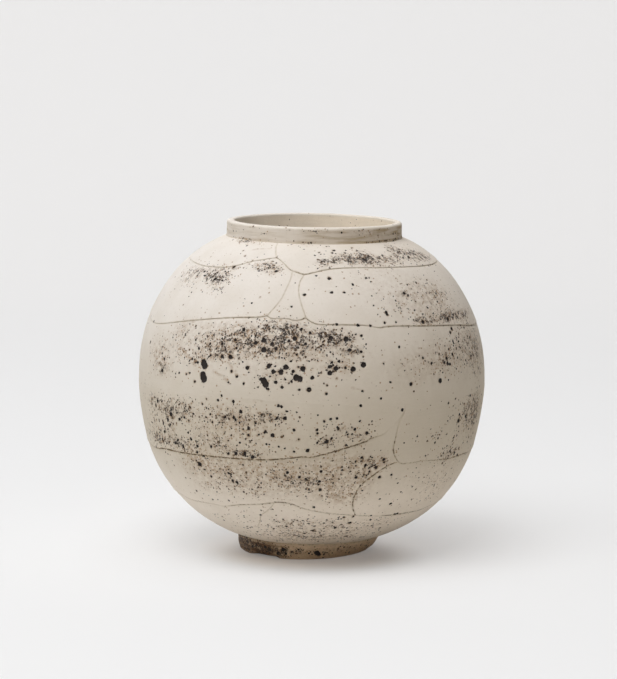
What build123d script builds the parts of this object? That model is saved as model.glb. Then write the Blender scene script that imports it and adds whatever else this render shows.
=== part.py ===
"""A slab-built moon jar: two round bowls of hand-laid clay slabs, luted rim to rim at the belly.

Every slab, the coil that fills the belly joint, the collar, the floor of the jar and the foot ring
is a piece of its own. The pieces meet face to face along the seams where they were luted.

Millimetres and degrees, +Z up. The origin is the middle of the foot, on the floor, and the front of
the jar faces -Y. The jar leans a little to its right, so it is built about a leaning axis.
"""

import os
from math import acos, asin, atan2, cos, degrees, radians, sin, sqrt, tan

from build123d import *

# Overall form
belly_diameter = 400.0
wall = 10.0
lean_angle = 1.0

# Round of the upper bowl: a belly arc that leaves the widest line upright, then a shoulder arc
upper_belly_arc = 181.5
upper_belly_sweep = 39.0
shoulder_arc = 143.5

# Round of the lower bowl: a flatter belly arc, then the arc of the base
lower_belly_arc = 304.0
lower_belly_sweep = 14.3
base_arc = 159.5

# Collar round the mouth
collar_diameter = 201.6
collar_wall = 9.7
collar_height = 18.0
lip_outer_round = 3.4
lip_inner_round = 2.4

# Foot ring under the floor of the jar
foot_top_diameter = 165.0
foot_bottom_diameter = 154.0
foot_height = 19.0
foot_ring_width = 13.0

# Coil of clay worked into the groove between the two bowls
belly_coil_height = 22.0
belly_coil_depth = 6.0

# How far the upper slab laps down over the lower one, through the wall, at a level seam
lap = 4.0

# Level seams, as (degrees round from the front, share of the way up or down the bowl).
# The share is 0 at the widest line, and 1 at the collar or at the foot.
shoulder_seam = [
    (-65, 0.72), (-48, 0.73), (-32, 0.80), (-19, 0.84), (-9, 0.74), (-4, 0.72), (6, 0.755),
    (30, 0.765), (75, 0.74), (120, 0.77), (165, 0.72), (210, 0.75), (255, 0.74),
]
upper_seam = [
    (-70, 0.31), (-45, 0.37), (-17, 0.43), (3, 0.405), (30, 0.38), (70, 0.33), (110, 0.37),
    (155, 0.41), (200, 0.36), (245, 0.40),
]
# The lower belly seam climbs to a tongue at the front right, so it is drawn as two runs that meet
# at the tongue's tip and again at the back.
tongue_tip = (30.5, 0.10)
lower_belly_seam_back = (180, 0.33)
lower_belly_seam_left = [
    (-140, 0.30), (-100, 0.34), (-70, 0.34), (-35, 0.325), (-5, 0.30), (12, 0.25), (23, 0.185),
]
lower_belly_seam_right = [
    (28.4, 0.22), (28.4, 0.29), (31, 0.33), (40, 0.337), (55, 0.347), (75, 0.353), (130, 0.31),
]
base_seam = [
    (-70, 0.61), (-40, 0.605), (-13, 0.55), (10, 0.61), (35, 0.65), (75, 0.64), (120, 0.60),
    (165, 0.63), (210, 0.58), (250, 0.62),
]

# Upright seams of each course, in the same terms, from past its upper edge to past its lower one
shoulder_ends = [
    [(-29, 1.25), (-22, 0.92), (-19, 0.84), (-17, 0.70)],
    [(91, 1.25), (96, 0.90), (94, 0.70)],
    [(213, 1.25), (208, 0.88), (211, 0.70)],
]
upper_ends = [
    [(-9, 0.80), (-10, 0.66), (-12, 0.56), (-18, 0.40)],
    [(-4, 0.80), (-6.3, 0.64), (-5, 0.52), (-2, 0.38)],
    [(128, 0.82), (131, 0.58), (126, 0.32)],
    [(238, 0.80), (235, 0.56), (240, 0.34)],
]
upper_belly_ends = [
    [(88, 0.46), (91, 0.20), (90, -0.06)],
    [(172, 0.48), (176, 0.20), (174, -0.06)],
    [(262, 0.48), (258, 0.20), (259, -0.06)],
]
lower_belly_ends = [
    [(26.5, 0.19), tongue_tip, (31, -0.06)],
    [(152, 0.44), (148, 0.16), (150, -0.06)],
    [(255, 0.44), (258, 0.16), (256, -0.06)],
]
lower_ends = [
    [(36, 0.30), (25, 0.37), (18, 0.46), (16.5, 0.53), (18.5, 0.66)],
    [(136, 0.26), (140, 0.46), (137, 0.70)],
    [(242, 0.26), (238, 0.46), (241, 0.68)],
]
base_ends = [
    [(-18, 0.50), (-23, 0.70), (-25, 0.90), (-24, 1.15)],
    [(98, 0.54), (101, 0.80), (99, 1.15)],
    [(222, 0.52), (218, 0.80), (220, 1.15)],
]

# Sizes that follow from the ones above
belly_radius = belly_diameter / 2
collar_radius = collar_diameter / 2
mouth_radius = collar_radius - collar_wall
foot_top_radius = foot_top_diameter / 2
foot_bottom_radius = foot_bottom_diameter / 2
cut_margin = 2 * wall


def second_centre(first_arc, second_arc, sweep):
    """Centre of a bowl's second arc, outward from the axis and away from the widest line."""
    outward = belly_radius - first_arc + (first_arc - second_arc) * cos(radians(sweep))
    return outward, (first_arc - second_arc) * sin(radians(sweep))


shoulder_outward, shoulder_rise = second_centre(upper_belly_arc, shoulder_arc, upper_belly_sweep)
base_outward, base_drop = second_centre(lower_belly_arc, base_arc, lower_belly_sweep)


def arc_angle(radius, arc_outward, arc_radius):
    """Angle above or below level at which an arc of the profile reaches a radius."""
    return degrees(acos((radius - arc_outward) / arc_radius))


# Where the collar and the foot meet the outside of the wall
collar_angle = arc_angle(collar_radius, shoulder_outward, shoulder_arc)
foot_angle = arc_angle(foot_top_radius, base_outward, base_arc)
collar_seat = shoulder_rise + shoulder_arc * sin(radians(collar_angle))
foot_seat = base_drop + base_arc * sin(radians(foot_angle))
belly_height = foot_height + foot_seat
rim_height = belly_height + collar_seat + collar_height

# The leaning axis, and the half plane through it in which every profile is drawn
jar = Plane(
    origin=(0, 0, 0),
    x_dir=(cos(radians(lean_angle)), 0, -sin(radians(lean_angle))),
    z_dir=(sin(radians(lean_angle)), 0, cos(radians(lean_angle))),
)
jar_axis = Axis(origin=jar.origin, direction=jar.z_dir)
profile = Plane(origin=jar.origin, x_dir=jar.x_dir, z_dir=-jar.y_dir)

upper_belly_centre = (belly_radius - upper_belly_arc, belly_height)
shoulder_centre = (shoulder_outward, belly_height + shoulder_rise)
lower_belly_centre = (belly_radius - lower_belly_arc, belly_height)
base_centre = (base_outward, belly_height - base_drop)

# The groove for the belly coil, as angles on the two belly arcs
coil_top_angle = degrees(asin(belly_coil_height / 2 / upper_belly_arc))
coil_bottom_angle = degrees(asin(belly_coil_height / 2 / lower_belly_arc))
coil_root = (belly_radius - belly_coil_depth, belly_height)

# The mouth, cut straight down through the shoulder
mouth_angle = arc_angle(mouth_radius, shoulder_outward, shoulder_arc)
mouth_inner_angle = arc_angle(mouth_radius, shoulder_outward, shoulder_arc - wall)

# The floor, from the top of the foot to the inner edge of the lower wall, which is cut square
floor_top = foot_height + wall * sin(radians(foot_angle))
floor_top_radius = foot_top_radius - wall * cos(radians(foot_angle))

# The foot ring is made long enough to be cut off level under the lean
foot_taper = (foot_top_radius - foot_bottom_radius) / foot_height
foot_excess = foot_top_radius * tan(radians(lean_angle))
foot_end_radius = foot_bottom_radius - foot_taper * foot_excess

# The wall of the upper bowl, from the belly groove to the mouth, still whole
with BuildPart() as upper_bowl:
    with BuildSketch(profile):
        with BuildLine():
            outer_belly = CenterArc(
                upper_belly_centre, upper_belly_arc, coil_top_angle, upper_belly_sweep - coil_top_angle
            )
            outer_shoulder = CenterArc(
                shoulder_centre, shoulder_arc, upper_belly_sweep, mouth_angle - upper_belly_sweep
            )
            inner_shoulder = CenterArc(
                shoulder_centre,
                shoulder_arc - wall,
                mouth_inner_angle,
                upper_belly_sweep - mouth_inner_angle,
            )
            inner_belly = CenterArc(
                upper_belly_centre, upper_belly_arc - wall, upper_belly_sweep, -upper_belly_sweep
            )
            Line(outer_shoulder @ 1, inner_shoulder @ 0)
            Polyline(inner_belly @ 1, coil_root, outer_belly @ 0)
        make_face()
    revolve(axis=jar_axis)

# The wall of the lower bowl, from the belly groove to the edge of the floor, still whole
with BuildPart() as lower_bowl:
    with BuildSketch(profile):
        with BuildLine():
            outer_belly = CenterArc(
                lower_belly_centre,
                lower_belly_arc,
                -coil_bottom_angle,
                coil_bottom_angle - lower_belly_sweep,
            )
            outer_base = CenterArc(
                base_centre, base_arc, -lower_belly_sweep, lower_belly_sweep - foot_angle
            )
            inner_base = CenterArc(
                base_centre, base_arc - wall, -foot_angle, foot_angle - lower_belly_sweep
            )
            inner_belly = CenterArc(
                lower_belly_centre, lower_belly_arc - wall, -lower_belly_sweep, lower_belly_sweep
            )
            Line(outer_base @ 1, inner_base @ 0)
            Polyline(inner_belly @ 1, coil_root, outer_belly @ 0)
        make_face()
    revolve(axis=jar_axis)


def outer_distance(elevation):
    """Distance from the belly's centre to the outside of the wall, along a direction in degrees."""
    if elevation >= 0:
        first_arc, second_arc, sweep = upper_belly_arc, shoulder_arc, upper_belly_sweep
        outward, rise = shoulder_outward, shoulder_rise
    else:
        first_arc, second_arc, sweep = lower_belly_arc, base_arc, lower_belly_sweep
        outward, rise = base_outward, base_drop
    slope = radians(abs(elevation))
    change_outward = outward + second_arc * cos(radians(sweep))
    change_rise = rise + second_arc * sin(radians(sweep))
    if slope < atan2(change_rise, change_outward):
        outward, rise, radius = belly_radius - first_arc, 0, first_arc
    else:
        radius = second_arc
    along = outward * cos(slope) + rise * sin(slope)
    across = outward * sin(slope) - rise * cos(slope)
    return along + sqrt(radius**2 - across**2)


def elevation_of(share, bowl_end):
    """Elevation in degrees of a share of the way from the widest line to the end of a bowl."""
    return share * degrees(atan2(bowl_end[1], bowl_end[0]))


upper_end = (collar_radius, collar_seat)
lower_end = (foot_top_radius, -foot_seat)


def seam_curve(points, bowl_end, depth, lap_share, closed):
    """Curve of a seam, a depth below the outside of the wall, raised by its share of the lap."""
    places = []
    for azimuth, share in points:
        elevation = elevation_of(share, bowl_end)
        distance = outer_distance(elevation) - depth
        turn = radians(azimuth)
        slope = radians(elevation) + lap_share * lap / belly_radius
        level = distance * cos(slope)
        up = belly_height + distance * sin(slope)
        places.append(jar.from_local_coords(Vector(level * sin(turn), -level * cos(turn), up)))
    with BuildLine() as curve:
        Spline(*places, periodic=closed)
    return curve.edge()


def seam(points, bowl_end, lapped=False, closed=False):
    """Surface that cuts through the wall along a seam, bevelled where the upper slab laps over."""
    lap_per_depth = 1 / wall if lapped else 0
    inner_depth = wall + cut_margin
    inner = seam_curve(points, bowl_end, inner_depth, inner_depth * lap_per_depth, closed)
    outer = seam_curve(points, bowl_end, -cut_margin, -cut_margin * lap_per_depth, closed)
    return Face.make_surface_from_curves(inner, outer)


def along_axis(solid):
    """Height of a solid's middle along the leaning axis."""
    return jar.to_local_coords(solid.center()).Z


def courses(bowl, level_seams):
    """Rings of wall between level seams, from the lowest to the highest."""
    rings = bowl.part.split(Compound(level_seams), Keep.ALL)
    return sorted(rings, key=along_axis)


def slabs(course, upright_seams, bowl_end):
    """Slabs of one course, in order round to the right from its first upright seam."""
    first_seam = upright_seams[0]
    start = first_seam[len(first_seam) // 2][0]

    def turn_from_start(solid):
        middle = jar.to_local_coords(solid.center())
        return (degrees(atan2(middle.X, -middle.Y)) - start) % 360

    cuts = [seam(points, bowl_end) for points in upright_seams]
    return sorted(course.split(Compound(cuts), Keep.ALL), key=turn_from_start)


upper_belly_course, upper_course, shoulder_course = courses(
    upper_bowl,
    [
        seam(shoulder_seam, upper_end, lapped=True, closed=True),
        seam(upper_seam, upper_end, lapped=True, closed=True),
    ],
)
base_course, lower_course, lower_belly_course = courses(
    lower_bowl,
    [
        seam([lower_belly_seam_back, *lower_belly_seam_left, tongue_tip], lower_end, lapped=True),
        seam([tongue_tip, *lower_belly_seam_right, lower_belly_seam_back], lower_end, lapped=True),
        seam(base_seam, lower_end, lapped=True, closed=True),
    ],
)

# The names of each course's slabs, in order round to the right from its first upright seam
course_slabs = [
    (
        ["shoulder_slab_right", "shoulder_slab_back", "shoulder_slab_left"],
        slabs(shoulder_course, shoulder_ends, upper_end),
    ),
    (
        ["upper_gusset", "upper_slab_right", "upper_slab_back", "upper_slab_left"],
        slabs(upper_course, upper_ends, upper_end),
    ),
    (
        ["upper_belly_slab_back_right", "upper_belly_slab_back_left", "upper_belly_slab_front"],
        slabs(upper_belly_course, upper_belly_ends, upper_end),
    ),
    (
        ["lower_belly_slab_right", "lower_belly_slab_back", "lower_belly_slab_left"],
        slabs(lower_belly_course, lower_belly_ends, lower_end),
    ),
    (
        ["lower_slab_right", "lower_slab_back", "lower_slab_left"],
        slabs(lower_course, lower_ends, lower_end),
    ),
    (
        ["base_slab_right", "base_slab_back", "base_slab_left"],
        slabs(base_course, base_ends, lower_end),
    ),
]

# The coil that fills the groove between the two bowls, flush with the outside of the wall
with BuildPart() as belly_coil:
    with BuildSketch(profile):
        with BuildLine():
            upper_face = CenterArc(upper_belly_centre, upper_belly_arc, 0, coil_top_angle)
            lower_face = CenterArc(lower_belly_centre, lower_belly_arc, 0, -coil_bottom_angle)
            Polyline(upper_face @ 1, coil_root, lower_face @ 1)
        make_face()
    revolve(axis=jar_axis)

# The collar, a ring of clay seated on the shoulder round the mouth, with a rounded lip
with BuildPart() as rim_collar:
    with BuildSketch(profile):
        with BuildLine():
            seat = CenterArc(shoulder_centre, shoulder_arc, collar_angle, mouth_angle - collar_angle)
            Polyline(seat @ 0, (collar_radius, rim_height), (mouth_radius, rim_height), seat @ 1)
        make_face()
    revolve(axis=jar_axis)
    lip_edges = rim_collar.edges().group_by(jar_axis)[-1].sort_by(SortBy.LENGTH)
    fillet(lip_edges[-1], lip_outer_round)
    lip_edges = rim_collar.edges().group_by(jar_axis)[-1].sort_by(SortBy.LENGTH)
    fillet(lip_edges[0], lip_inner_round)

# The floor of the jar, a disc whose bevelled edge fits inside the ends of the base slabs
with BuildPart() as base_disc:
    with BuildSketch(profile):
        with BuildLine():
            Polyline(
                (0, foot_height),
                (foot_top_radius, foot_height),
                (floor_top_radius, floor_top),
                (0, floor_top),
                close=True,
            )
        make_face()
    revolve(axis=jar_axis)

# The foot ring under the floor, narrowing downward and cut off level where it stands
with BuildPart() as foot_ring:
    with BuildSketch(profile):
        with BuildLine():
            Polyline(
                (foot_top_radius, foot_height),
                (foot_end_radius, -foot_excess),
                (foot_end_radius - foot_ring_width, -foot_excess),
                (foot_top_radius - foot_ring_width, foot_height),
                close=True,
            )
        make_face()
    revolve(axis=jar_axis)
    split(bisect_by=Plane.XY, keep=Keep.TOP)

os.makedirs("parts", exist_ok=True)


def write_piece(piece, name):
    """Labels a finished piece and writes it to its own file."""
    piece.part.label = name
    export_step(piece.part, f"parts/{name}.step")


for names, solids in course_slabs:
    for name, solid in zip(names, solids, strict=True):
        with BuildPart() as slab:
            add(solid)
        write_piece(slab, name)

write_piece(belly_coil, "belly_coil")
write_piece(rim_collar, "rim_collar")
write_piece(base_disc, "base_disc")
write_piece(foot_ring, "foot_ring")
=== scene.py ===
"""Looks of a slab-built moon jar: torn clay slabs, open seams, iron specks and a scorched foot.

Lengths are in millimetres and angles in degrees until a mesh is made. The frame is the part's own: the
origin is the middle of the foot, the front faces -Y, and the jar leans a little to its right.
"""

import math

import bpy
import numpy as np
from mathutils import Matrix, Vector, noise


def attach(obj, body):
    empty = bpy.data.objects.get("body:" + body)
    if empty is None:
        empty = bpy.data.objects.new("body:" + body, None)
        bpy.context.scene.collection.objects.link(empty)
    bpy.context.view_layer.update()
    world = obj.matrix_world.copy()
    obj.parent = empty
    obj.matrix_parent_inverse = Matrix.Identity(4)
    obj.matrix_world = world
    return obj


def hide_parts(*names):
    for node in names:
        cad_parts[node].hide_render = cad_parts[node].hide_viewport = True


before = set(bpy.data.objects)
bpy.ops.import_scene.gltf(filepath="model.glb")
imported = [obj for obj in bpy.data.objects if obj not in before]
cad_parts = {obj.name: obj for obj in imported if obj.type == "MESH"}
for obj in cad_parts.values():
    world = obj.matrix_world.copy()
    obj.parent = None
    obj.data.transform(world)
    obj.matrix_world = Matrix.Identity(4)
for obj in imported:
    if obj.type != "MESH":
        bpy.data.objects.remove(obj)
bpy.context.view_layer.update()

MILLIMETRE = 0.001

# Form of the jar, with the sizes that it is built to
belly_radius = 200.0
wall = 10.0
lean = math.radians(1.0)
upper_belly_arc = 181.5
upper_belly_sweep = math.radians(39.0)
shoulder_arc = 143.5
lower_belly_arc = 304.0
lower_belly_sweep = math.radians(14.3)
base_arc = 159.5
collar_radius = 100.8
collar_wall = 9.7
collar_height = 18.0
foot_top_radius = 82.5
foot_bottom_radius = 77.0
foot_height = 19.0
foot_ring_width = 13.0
mouth_radius = collar_radius - collar_wall

# Seams as (azimuth, share of the way up or down the bowl, how far the seam stands open)
shoulder_seam = [
    (-82, 0.738, 0.4), (-67, 0.725, 0.5), (-57, 0.718, 0.55), (-49.5, 0.722, 0.6), (-41, 0.736, 0.6),
    (-36, 0.76, 0.6), (-32, 0.788, 0.55), (-26, 0.816, 0.5), (-18.7, 0.837, 0.6), (-15, 0.802, 0.7),
    (-10.5, 0.746, 0.8), (-8, 0.732, 0.9), (-4.2, 0.715, 1.0), (-1, 0.725, 0.9), (4.7, 0.75, 0.8),
    (12, 0.764, 0.7), (19, 0.767, 0.6), (34, 0.76, 0.6), (49.5, 0.753, 0.65), (62, 0.746, 0.7),
    (78, 0.745, 0.7), (120, 0.77, 0.8), (165, 0.72, 0.6), (210, 0.75, 0.9), (250, 0.74, 0.7),
]
upper_seam = [
    (-74, 0.31, 0.5), (-68.7, 0.31, 0.55), (-62, 0.324, 0.6), (-53, 0.352, 0.65), (-43, 0.38, 0.7),
    (-32, 0.408, 0.75), (-26.5, 0.418, 0.85), (-18.7, 0.429, 0.9), (-16.5, 0.437, 0.95), (-15, 0.425, 0.6),
    (-8.5, 0.425, 0.5), (-7, 0.418, 0.5), (-4.2, 0.422, 0.7), (-2.7, 0.434, 1.4), (-2, 0.425, 1.1),
    (0.7, 0.401, 0.9), (6.2, 0.397, 0.8), (14.5, 0.394, 0.8), (19.5, 0.388, 0.5), (22, 0.377, 0.4),
    (24, 0.376, 0.9), (26, 0.38, 1.0), (31, 0.38, 1.0), (39, 0.373, 1.0), (55, 0.356, 1.0),
    (85, 0.315, 0.9), (110, 0.37, 1.0), (155, 0.41, 0.8), (200, 0.36, 1.0), (245, 0.40, 0.9),
]
tongue_tip = (31, 0.081, 0.35)
tongue_root = (30.5, 0.332, 0.9)
lower_belly_seam_left = [
    (-180, 0.33, 0.8), (-140, 0.30, 1.0), (-100, 0.34, 0.9), (-68, 0.353, 1.4), (-60, 0.338, 1.65),
    (-50.5, 0.335, 1.7), (-38, 0.329, 1.6), (-30, 0.326, 1.6), (-22, 0.323, 1.65), (-16, 0.32, 1.6),
    (-8.5, 0.308, 1.5), (-2, 0.295, 1.45), (-0.3, 0.298, 1.45), (4.5, 0.28, 1.55), (9.5, 0.259, 1.6),
    (14.2, 0.238, 1.65), (17.5, 0.223, 1.7), (20.5, 0.202, 1.4), (23, 0.194, 0.6), (27, 0.15, 0.0),
    tongue_tip,
]
tongue_side = [
    tongue_tip, (29.7, 0.118, 0.5), (28.7, 0.169, 0.6), (28.4, 0.208, 1.0), (28, 0.247, 1.4),
    (28, 0.271, 1.35), (29, 0.304, 1.0), tongue_root,
]
lower_belly_seam_right = [
    tongue_root, (32.2, 0.343, 1.1), (36.5, 0.344, 1.2), (41, 0.341, 1.1), (47, 0.347, 1.2),
    (54, 0.353, 1.4), (60, 0.353, 1.6), (66.5, 0.353, 1.6), (76, 0.359, 1.2), (130, 0.31, 0.8),
    (180, 0.33, 0.8),
]
base_seam = [
    (-66, 0.609, 1.3), (-59.5, 0.62, 1.4), (-49, 0.615, 1.2), (-42, 0.612, 1.1), (-37, 0.614, 1.1),
    (-28.5, 0.588, 1.35), (-20.5, 0.573, 1.4), (-15, 0.558, 1.5), (-12.5, 0.549, 1.55), (-7.5, 0.555, 1.5),
    (-2, 0.585, 1.45), (6, 0.612, 1.4), (12, 0.624, 1.4), (19, 0.636, 1.4), (28.5, 0.651, 1.35),
    (39, 0.657, 1.8), (48.5, 0.66, 1.7), (56, 0.66, 1.6), (61.5, 0.648, 1.4), (75, 0.64, 1.2),
    (120, 0.60, 1.0), (165, 0.63, 1.2), (210, 0.58, 1.0), (250, 0.62, 1.1),
]
coil_upper_edge = [
    (-58, 0.012, 0), (-38, 0.024, 0), (-20, 0.028, 0), (-4, 0.034, 0), (12, 0.035, 0), (29, 0.034, 0),
    (50, 0.030, 0), (95, 0.038, 0), (140, 0.026, 0), (190, 0.034, 0), (245, 0.028, 0),
]
coil_lower_edge = [
    (-58, 0.046, 0), (-44, 0.034, 0), (-31, 0.028, 0), (-20, 0.026, 0), (-8.5, 0.026, 0), (-0.5, 0.036, 0),
    (12, 0.042, 0), (24, 0.043, 0), (33, 0.054, 0), (50, 0.050, 0), (95, 0.040, 0), (140, 0.048, 0),
    (190, 0.042, 0), (245, 0.050, 0),
]

# Upright seams, in the same terms
shoulder_ends = [
    [(-27, 1.25, 0.5), (-23, 0.955, 0.5), (-21.7, 0.914, 0.6), (-20.5, 0.879, 0.6), (-18.7, 0.837, 0.7)],
    [(91, 1.25, 0.6), (96, 0.90, 0.7), (94, 0.70, 0.7)],
    [(213, 1.25, 0.6), (208, 0.88, 0.8), (211, 0.70, 0.6)],
]
upper_ends = [
    [
        (-9.3, 0.80, 0.7), (-9.5, 0.732, 0.7), (-9.7, 0.676, 0.6), (-10.7, 0.614, 0.6), (-12, 0.547, 0.6),
        (-14, 0.492, 0.7), (-16.2, 0.439, 0.9), (-17.5, 0.40, 0.9),
    ],
    [
        (-3.5, 0.76, 0.9), (-4.2, 0.715, 0.9), (-5.7, 0.659, 0.9), (-5.8, 0.593, 0.8), (-4.7, 0.526, 0.6),
        (-3.5, 0.474, 0.7), (-2.7, 0.436, 1.0), (-2.2, 0.41, 1.0),
    ],
    [(128, 0.82, 0.7), (131, 0.58, 0.8), (126, 0.32, 0.7)],
    [(238, 0.80, 0.8), (235, 0.56, 0.6), (240, 0.34, 0.8)],
]
upper_belly_ends = [
    [(88, 0.46, 0.7), (91, 0.20, 0.6), (90, -0.06, 0.2)],
    [(172, 0.48, 0.8), (176, 0.20, 0.7), (174, -0.06, 0.2)],
    [(262, 0.48, 0.6), (258, 0.20, 0.7), (259, -0.06, 0.2)],
]
belly_to_tip = [(31.2, -0.02, 0.0), (31.1, 0.05, 0.1), tongue_tip]
lower_belly_ends = [
    [(150, -0.06, 0.2), (148, 0.16, 0.7), (152, 0.44, 0.8)],
    [(256, -0.06, 0.2), (258, 0.16, 0.6), (255, 0.44, 0.8)],
]
root_to_base = [
    tongue_root, (27.5, 0.344, 1.35), (24, 0.371, 1.45), (21.5, 0.398, 1.5), (18.5, 0.434, 1.45),
    (16.7, 0.485, 1.4), (16.2, 0.534, 1.35), (17, 0.585, 1.3), (18.8, 0.633, 1.2), (19.6, 0.70, 1.0),
]
lower_ends = [
    [(136, 0.26, 0.7), (140, 0.46, 0.8), (137, 0.70, 0.7)],
    [(242, 0.26, 0.7), (238, 0.46, 0.6), (241, 0.68, 0.8)],
]
base_ends = [
    [
        (-13, 0.50, 0.6), (-14.2, 0.567, 0.6), (-17, 0.609, 0.5), (-20.7, 0.651, 0.6), (-22.5, 0.70, 0.5),
        (-26, 0.775, 0.25), (-26.5, 0.9, 0.1), (-25, 1.15, 0.05),
    ],
    [(98, 0.54, 0.6), (101, 0.80, 0.5), (99, 1.15, 0.4)],
    [(222, 0.52, 0.6), (218, 0.80, 0.5), (220, 1.15, 0.4)],
]

# Seam edges: the round of an open edge, and how far a slab stands proud over the one below it
edge_round = 0.6
lap_proud, proud_reach = 0.55, 6.0
lap_sunk, sunk_reach = 0.5, 3.6
end_proud, end_sunk = 0.2, 0.1
relief_most = 0.8
# Width of a seam's colour line: a dark joint, and painted shade in its gap
seam_stain_and_shade = 0.9
ridge_height, ridge_above, ridge_below = 0.42, 7.0, 18.0
least_round = 0.05

# Unevenness of the wall and of its worn edges: height or share, size and offset of each ripple
wall_ripples = ((0.5, 70.0, 0.0), (0.22, 26.0, 7.3), (0.07, 7.0, 3.1))
edge_ripples = ((0.35, 9.0, 11.7),)

# Large pits: their depth, how far inside the rim they start and end to fall, and the value far from any
pit_depth, pit_span, no_pit = 1.6, (-0.4, 2.0), -10.0

# Clusters of specks at the front: azimuth, elevation, half width, half height, specks, rust
front_clusters = [
    (-11, 20, 9, 4, 1.0, 0.6), (-26, 18, 9, 4, 0.62, 0.9), (-36, 15.5, 8, 5, 0.4, 0.8),
    (-31, 12.5, 8, 3, 0.68, 0.9), (5, 18.5, 4.5, 3.5, 1.0, 0.7), (11.5, 17.5, 3.5, 3, 0.7, 0.9),
    (-5, 17, 5, 4, 0.75, 0.7), (13, 14, 4, 1.8, 0.7, 0.9), (-50, 17.5, 6, 4, 0.38, 0.5),
    (-18, 15, 9, 3.5, 0.65, 0.8), (-5, 13, 14, 3, 0.42, 0.7), (-60, 8, 7, 5, 0.4, 0.8),
    (8, 9, 5, 2.5, 0.45, 0.9), (-12, 6, 9, 4, 0.38, 0.4), (-40, 9, 5, 2.5, 0.35, 0.9),
    (-57, 4, 4, 2.5, 0.55, 0.4), (-48, 10, 4, 3, 0.3, 0.2), (48, 10, 6, 4, 0.42, 0.6),
    (40, 9, 14, 6, 0.1, 0.5), (60, 13, 10, 7, 0.42, 0.5), (71, 10, 8, 9, 0.58, 0.5),
    (56, 23.3, 9, 1.7, 0.72, 0.8), (69, 23, 8, 1.8, 0.75, 0.8), (44, 22.8, 5, 1.2, 0.72, 0.6),
    (-46, 38.5, 7, 3.5, 0.76, 0.3), (-41, 36, 5, 4, 0.66, 0.3), (-62, 37, 10, 4.5, 0.5, 0.4),
    (-38, 42, 3, 1, 0.6, 0.2), (-57, 39.5, 5, 1.5, 0.4, 0.3), (-23, 43.8, 8, 2.4, 0.76, 0.4),
    (-18, 42, 3, 2, 0.55, 0.4), (4, 46.5, 4, 3, 0.68, 0.3), (20, 47.5, 7, 2.5, 0.8, 0.4),
    (9, 47, 5, 1.8, 0.65, 0.4), (15, 49.5, 6, 2, 0.55, 0.4), (28, 47.5, 7, 3, 0.75, 0.4),
    (40, 47, 8, 3, 0.58, 0.5), (50, 52, 6, 4, 0.66, 0.4), (60, 49, 12, 4, 0.6, 0.3),
    (70, 46, 10, 3, 0.52, 0.3), (26, 51, 6, 3, 0.5, 0.4), (38, 32.5, 4, 2, 0.55, 0.4),
    (33, 28, 3, 3, 0.4, 0.1), (41, 23.5, 5, 1.5, 0.55, 0.2), (56, 30, 7, 5, 0.4, 0.6),
    (57, 23, 6, 2, 0.35, 0.2), (27, 27, 2, 2, 0.35, 0.0), (46, 29, 12, 6, 0.22, 0.6),
    (48, 34, 10, 4, 0.16, 0.4), (28, 37, 14, 8, 0.05, 0.25), (-8, 57, 6, 1.3, 0.8, 0.3),
    (-47, 56.3, 11, 1.5, 0.75, 0.3), (7, 55.5, 3, 2, 0.5, 0.3), (-62, -7, 8, 3, 0.52, 0.35),
    (-52, -9, 6, 3, 0.6, 0.4), (-45, -7, 5, 4, 0.52, 0.2), (-62, -15, 9, 6, 0.38, 0.3),
    (-63, -19.5, 9, 2, 0.72, 0.1), (-53, -16, 3, 5, 0.45, 0.4), (-47, -19.5, 6, 2.2, 0.72, 0.25),
    (-38, -12, 6, 6, 0.28, 0.2), (-27, -8, 9, 4, 0.6, 0.75), (-13, -7, 6, 2, 0.72, 0.35),
    (-22, -19.5, 7, 1.5, 0.8, 0.3), (-33, -17, 9, 3, 0.45, 0.55), (-20, -12, 14, 5, 0.28, 0.6),
    (10, -12, 9, 5, 0.4, 0.2), (16, -13, 3, 2, 0.5, 0.2), (5, -15, 4, 2, 0.45, 0.2),
    (-43, -25, 4, 3, 0.3, 1.3), (-35, -25, 12, 4, 0.24, 1.1), (-16, -25, 24, 5, 0.16, 0.8),
    (-27, -27.5, 6, 3, 0.26, 0.3), (-10, -27, 9, 3, 0.36, 0.7), (-1, -27.5, 6, 2, 0.42, 0.3),
    (-5, -30.5, 9, 2.5, 0.26, 0.3), (-28, -31.5, 7, 2, 0.3, 0.5), (-40, -33, 5, 2, 0.32, 0.5),
    (-20, -33, 5, 2, 0.3, 0.5), (-15, -30, 30, 7, 0.12, 0.3), (17, -22, 5, 3, 0.48, 0.8),
    (24, -22, 4, 2.5, 0.58, 0.7), (18, -27, 4, 4.5, 0.28, 1.2), (12, -34, 6, 2.5, 0.22, 1.2),
    (6, -31, 5, 3, 0.3, 1.1), (8, -25, 10, 6, 0.25, 1.0), (55, -21.5, 7, 3, 0.55, 0.2),
    (52, -31, 15, 8, 0.2, 0.3), (62, -8, 7, 5, 0.48, 0.3), (70, -10, 7, 9, 0.62, 0.5),
    (45, -15, 8, 4, 0.2, 0.1), (57, -14, 6, 5, 0.28, 0.1), (-8, -45.5, 8, 2.2, 0.32, 0.3),
    (8, -45.5, 6, 2.5, 0.32, 0.3), (-10, -50, 14, 5, 0.31, 0.3), (15, -50, 14, 5, 0.31, 0.3),
    (32, -47, 9, 4, 0.32, 0.3), (2, -57, 34, 4, 0.42, 0.35), (5, -52, 34, 9, 0.14, 0.1),
    (-35, -48, 10, 5, 0.12, 0.1),
]

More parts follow.
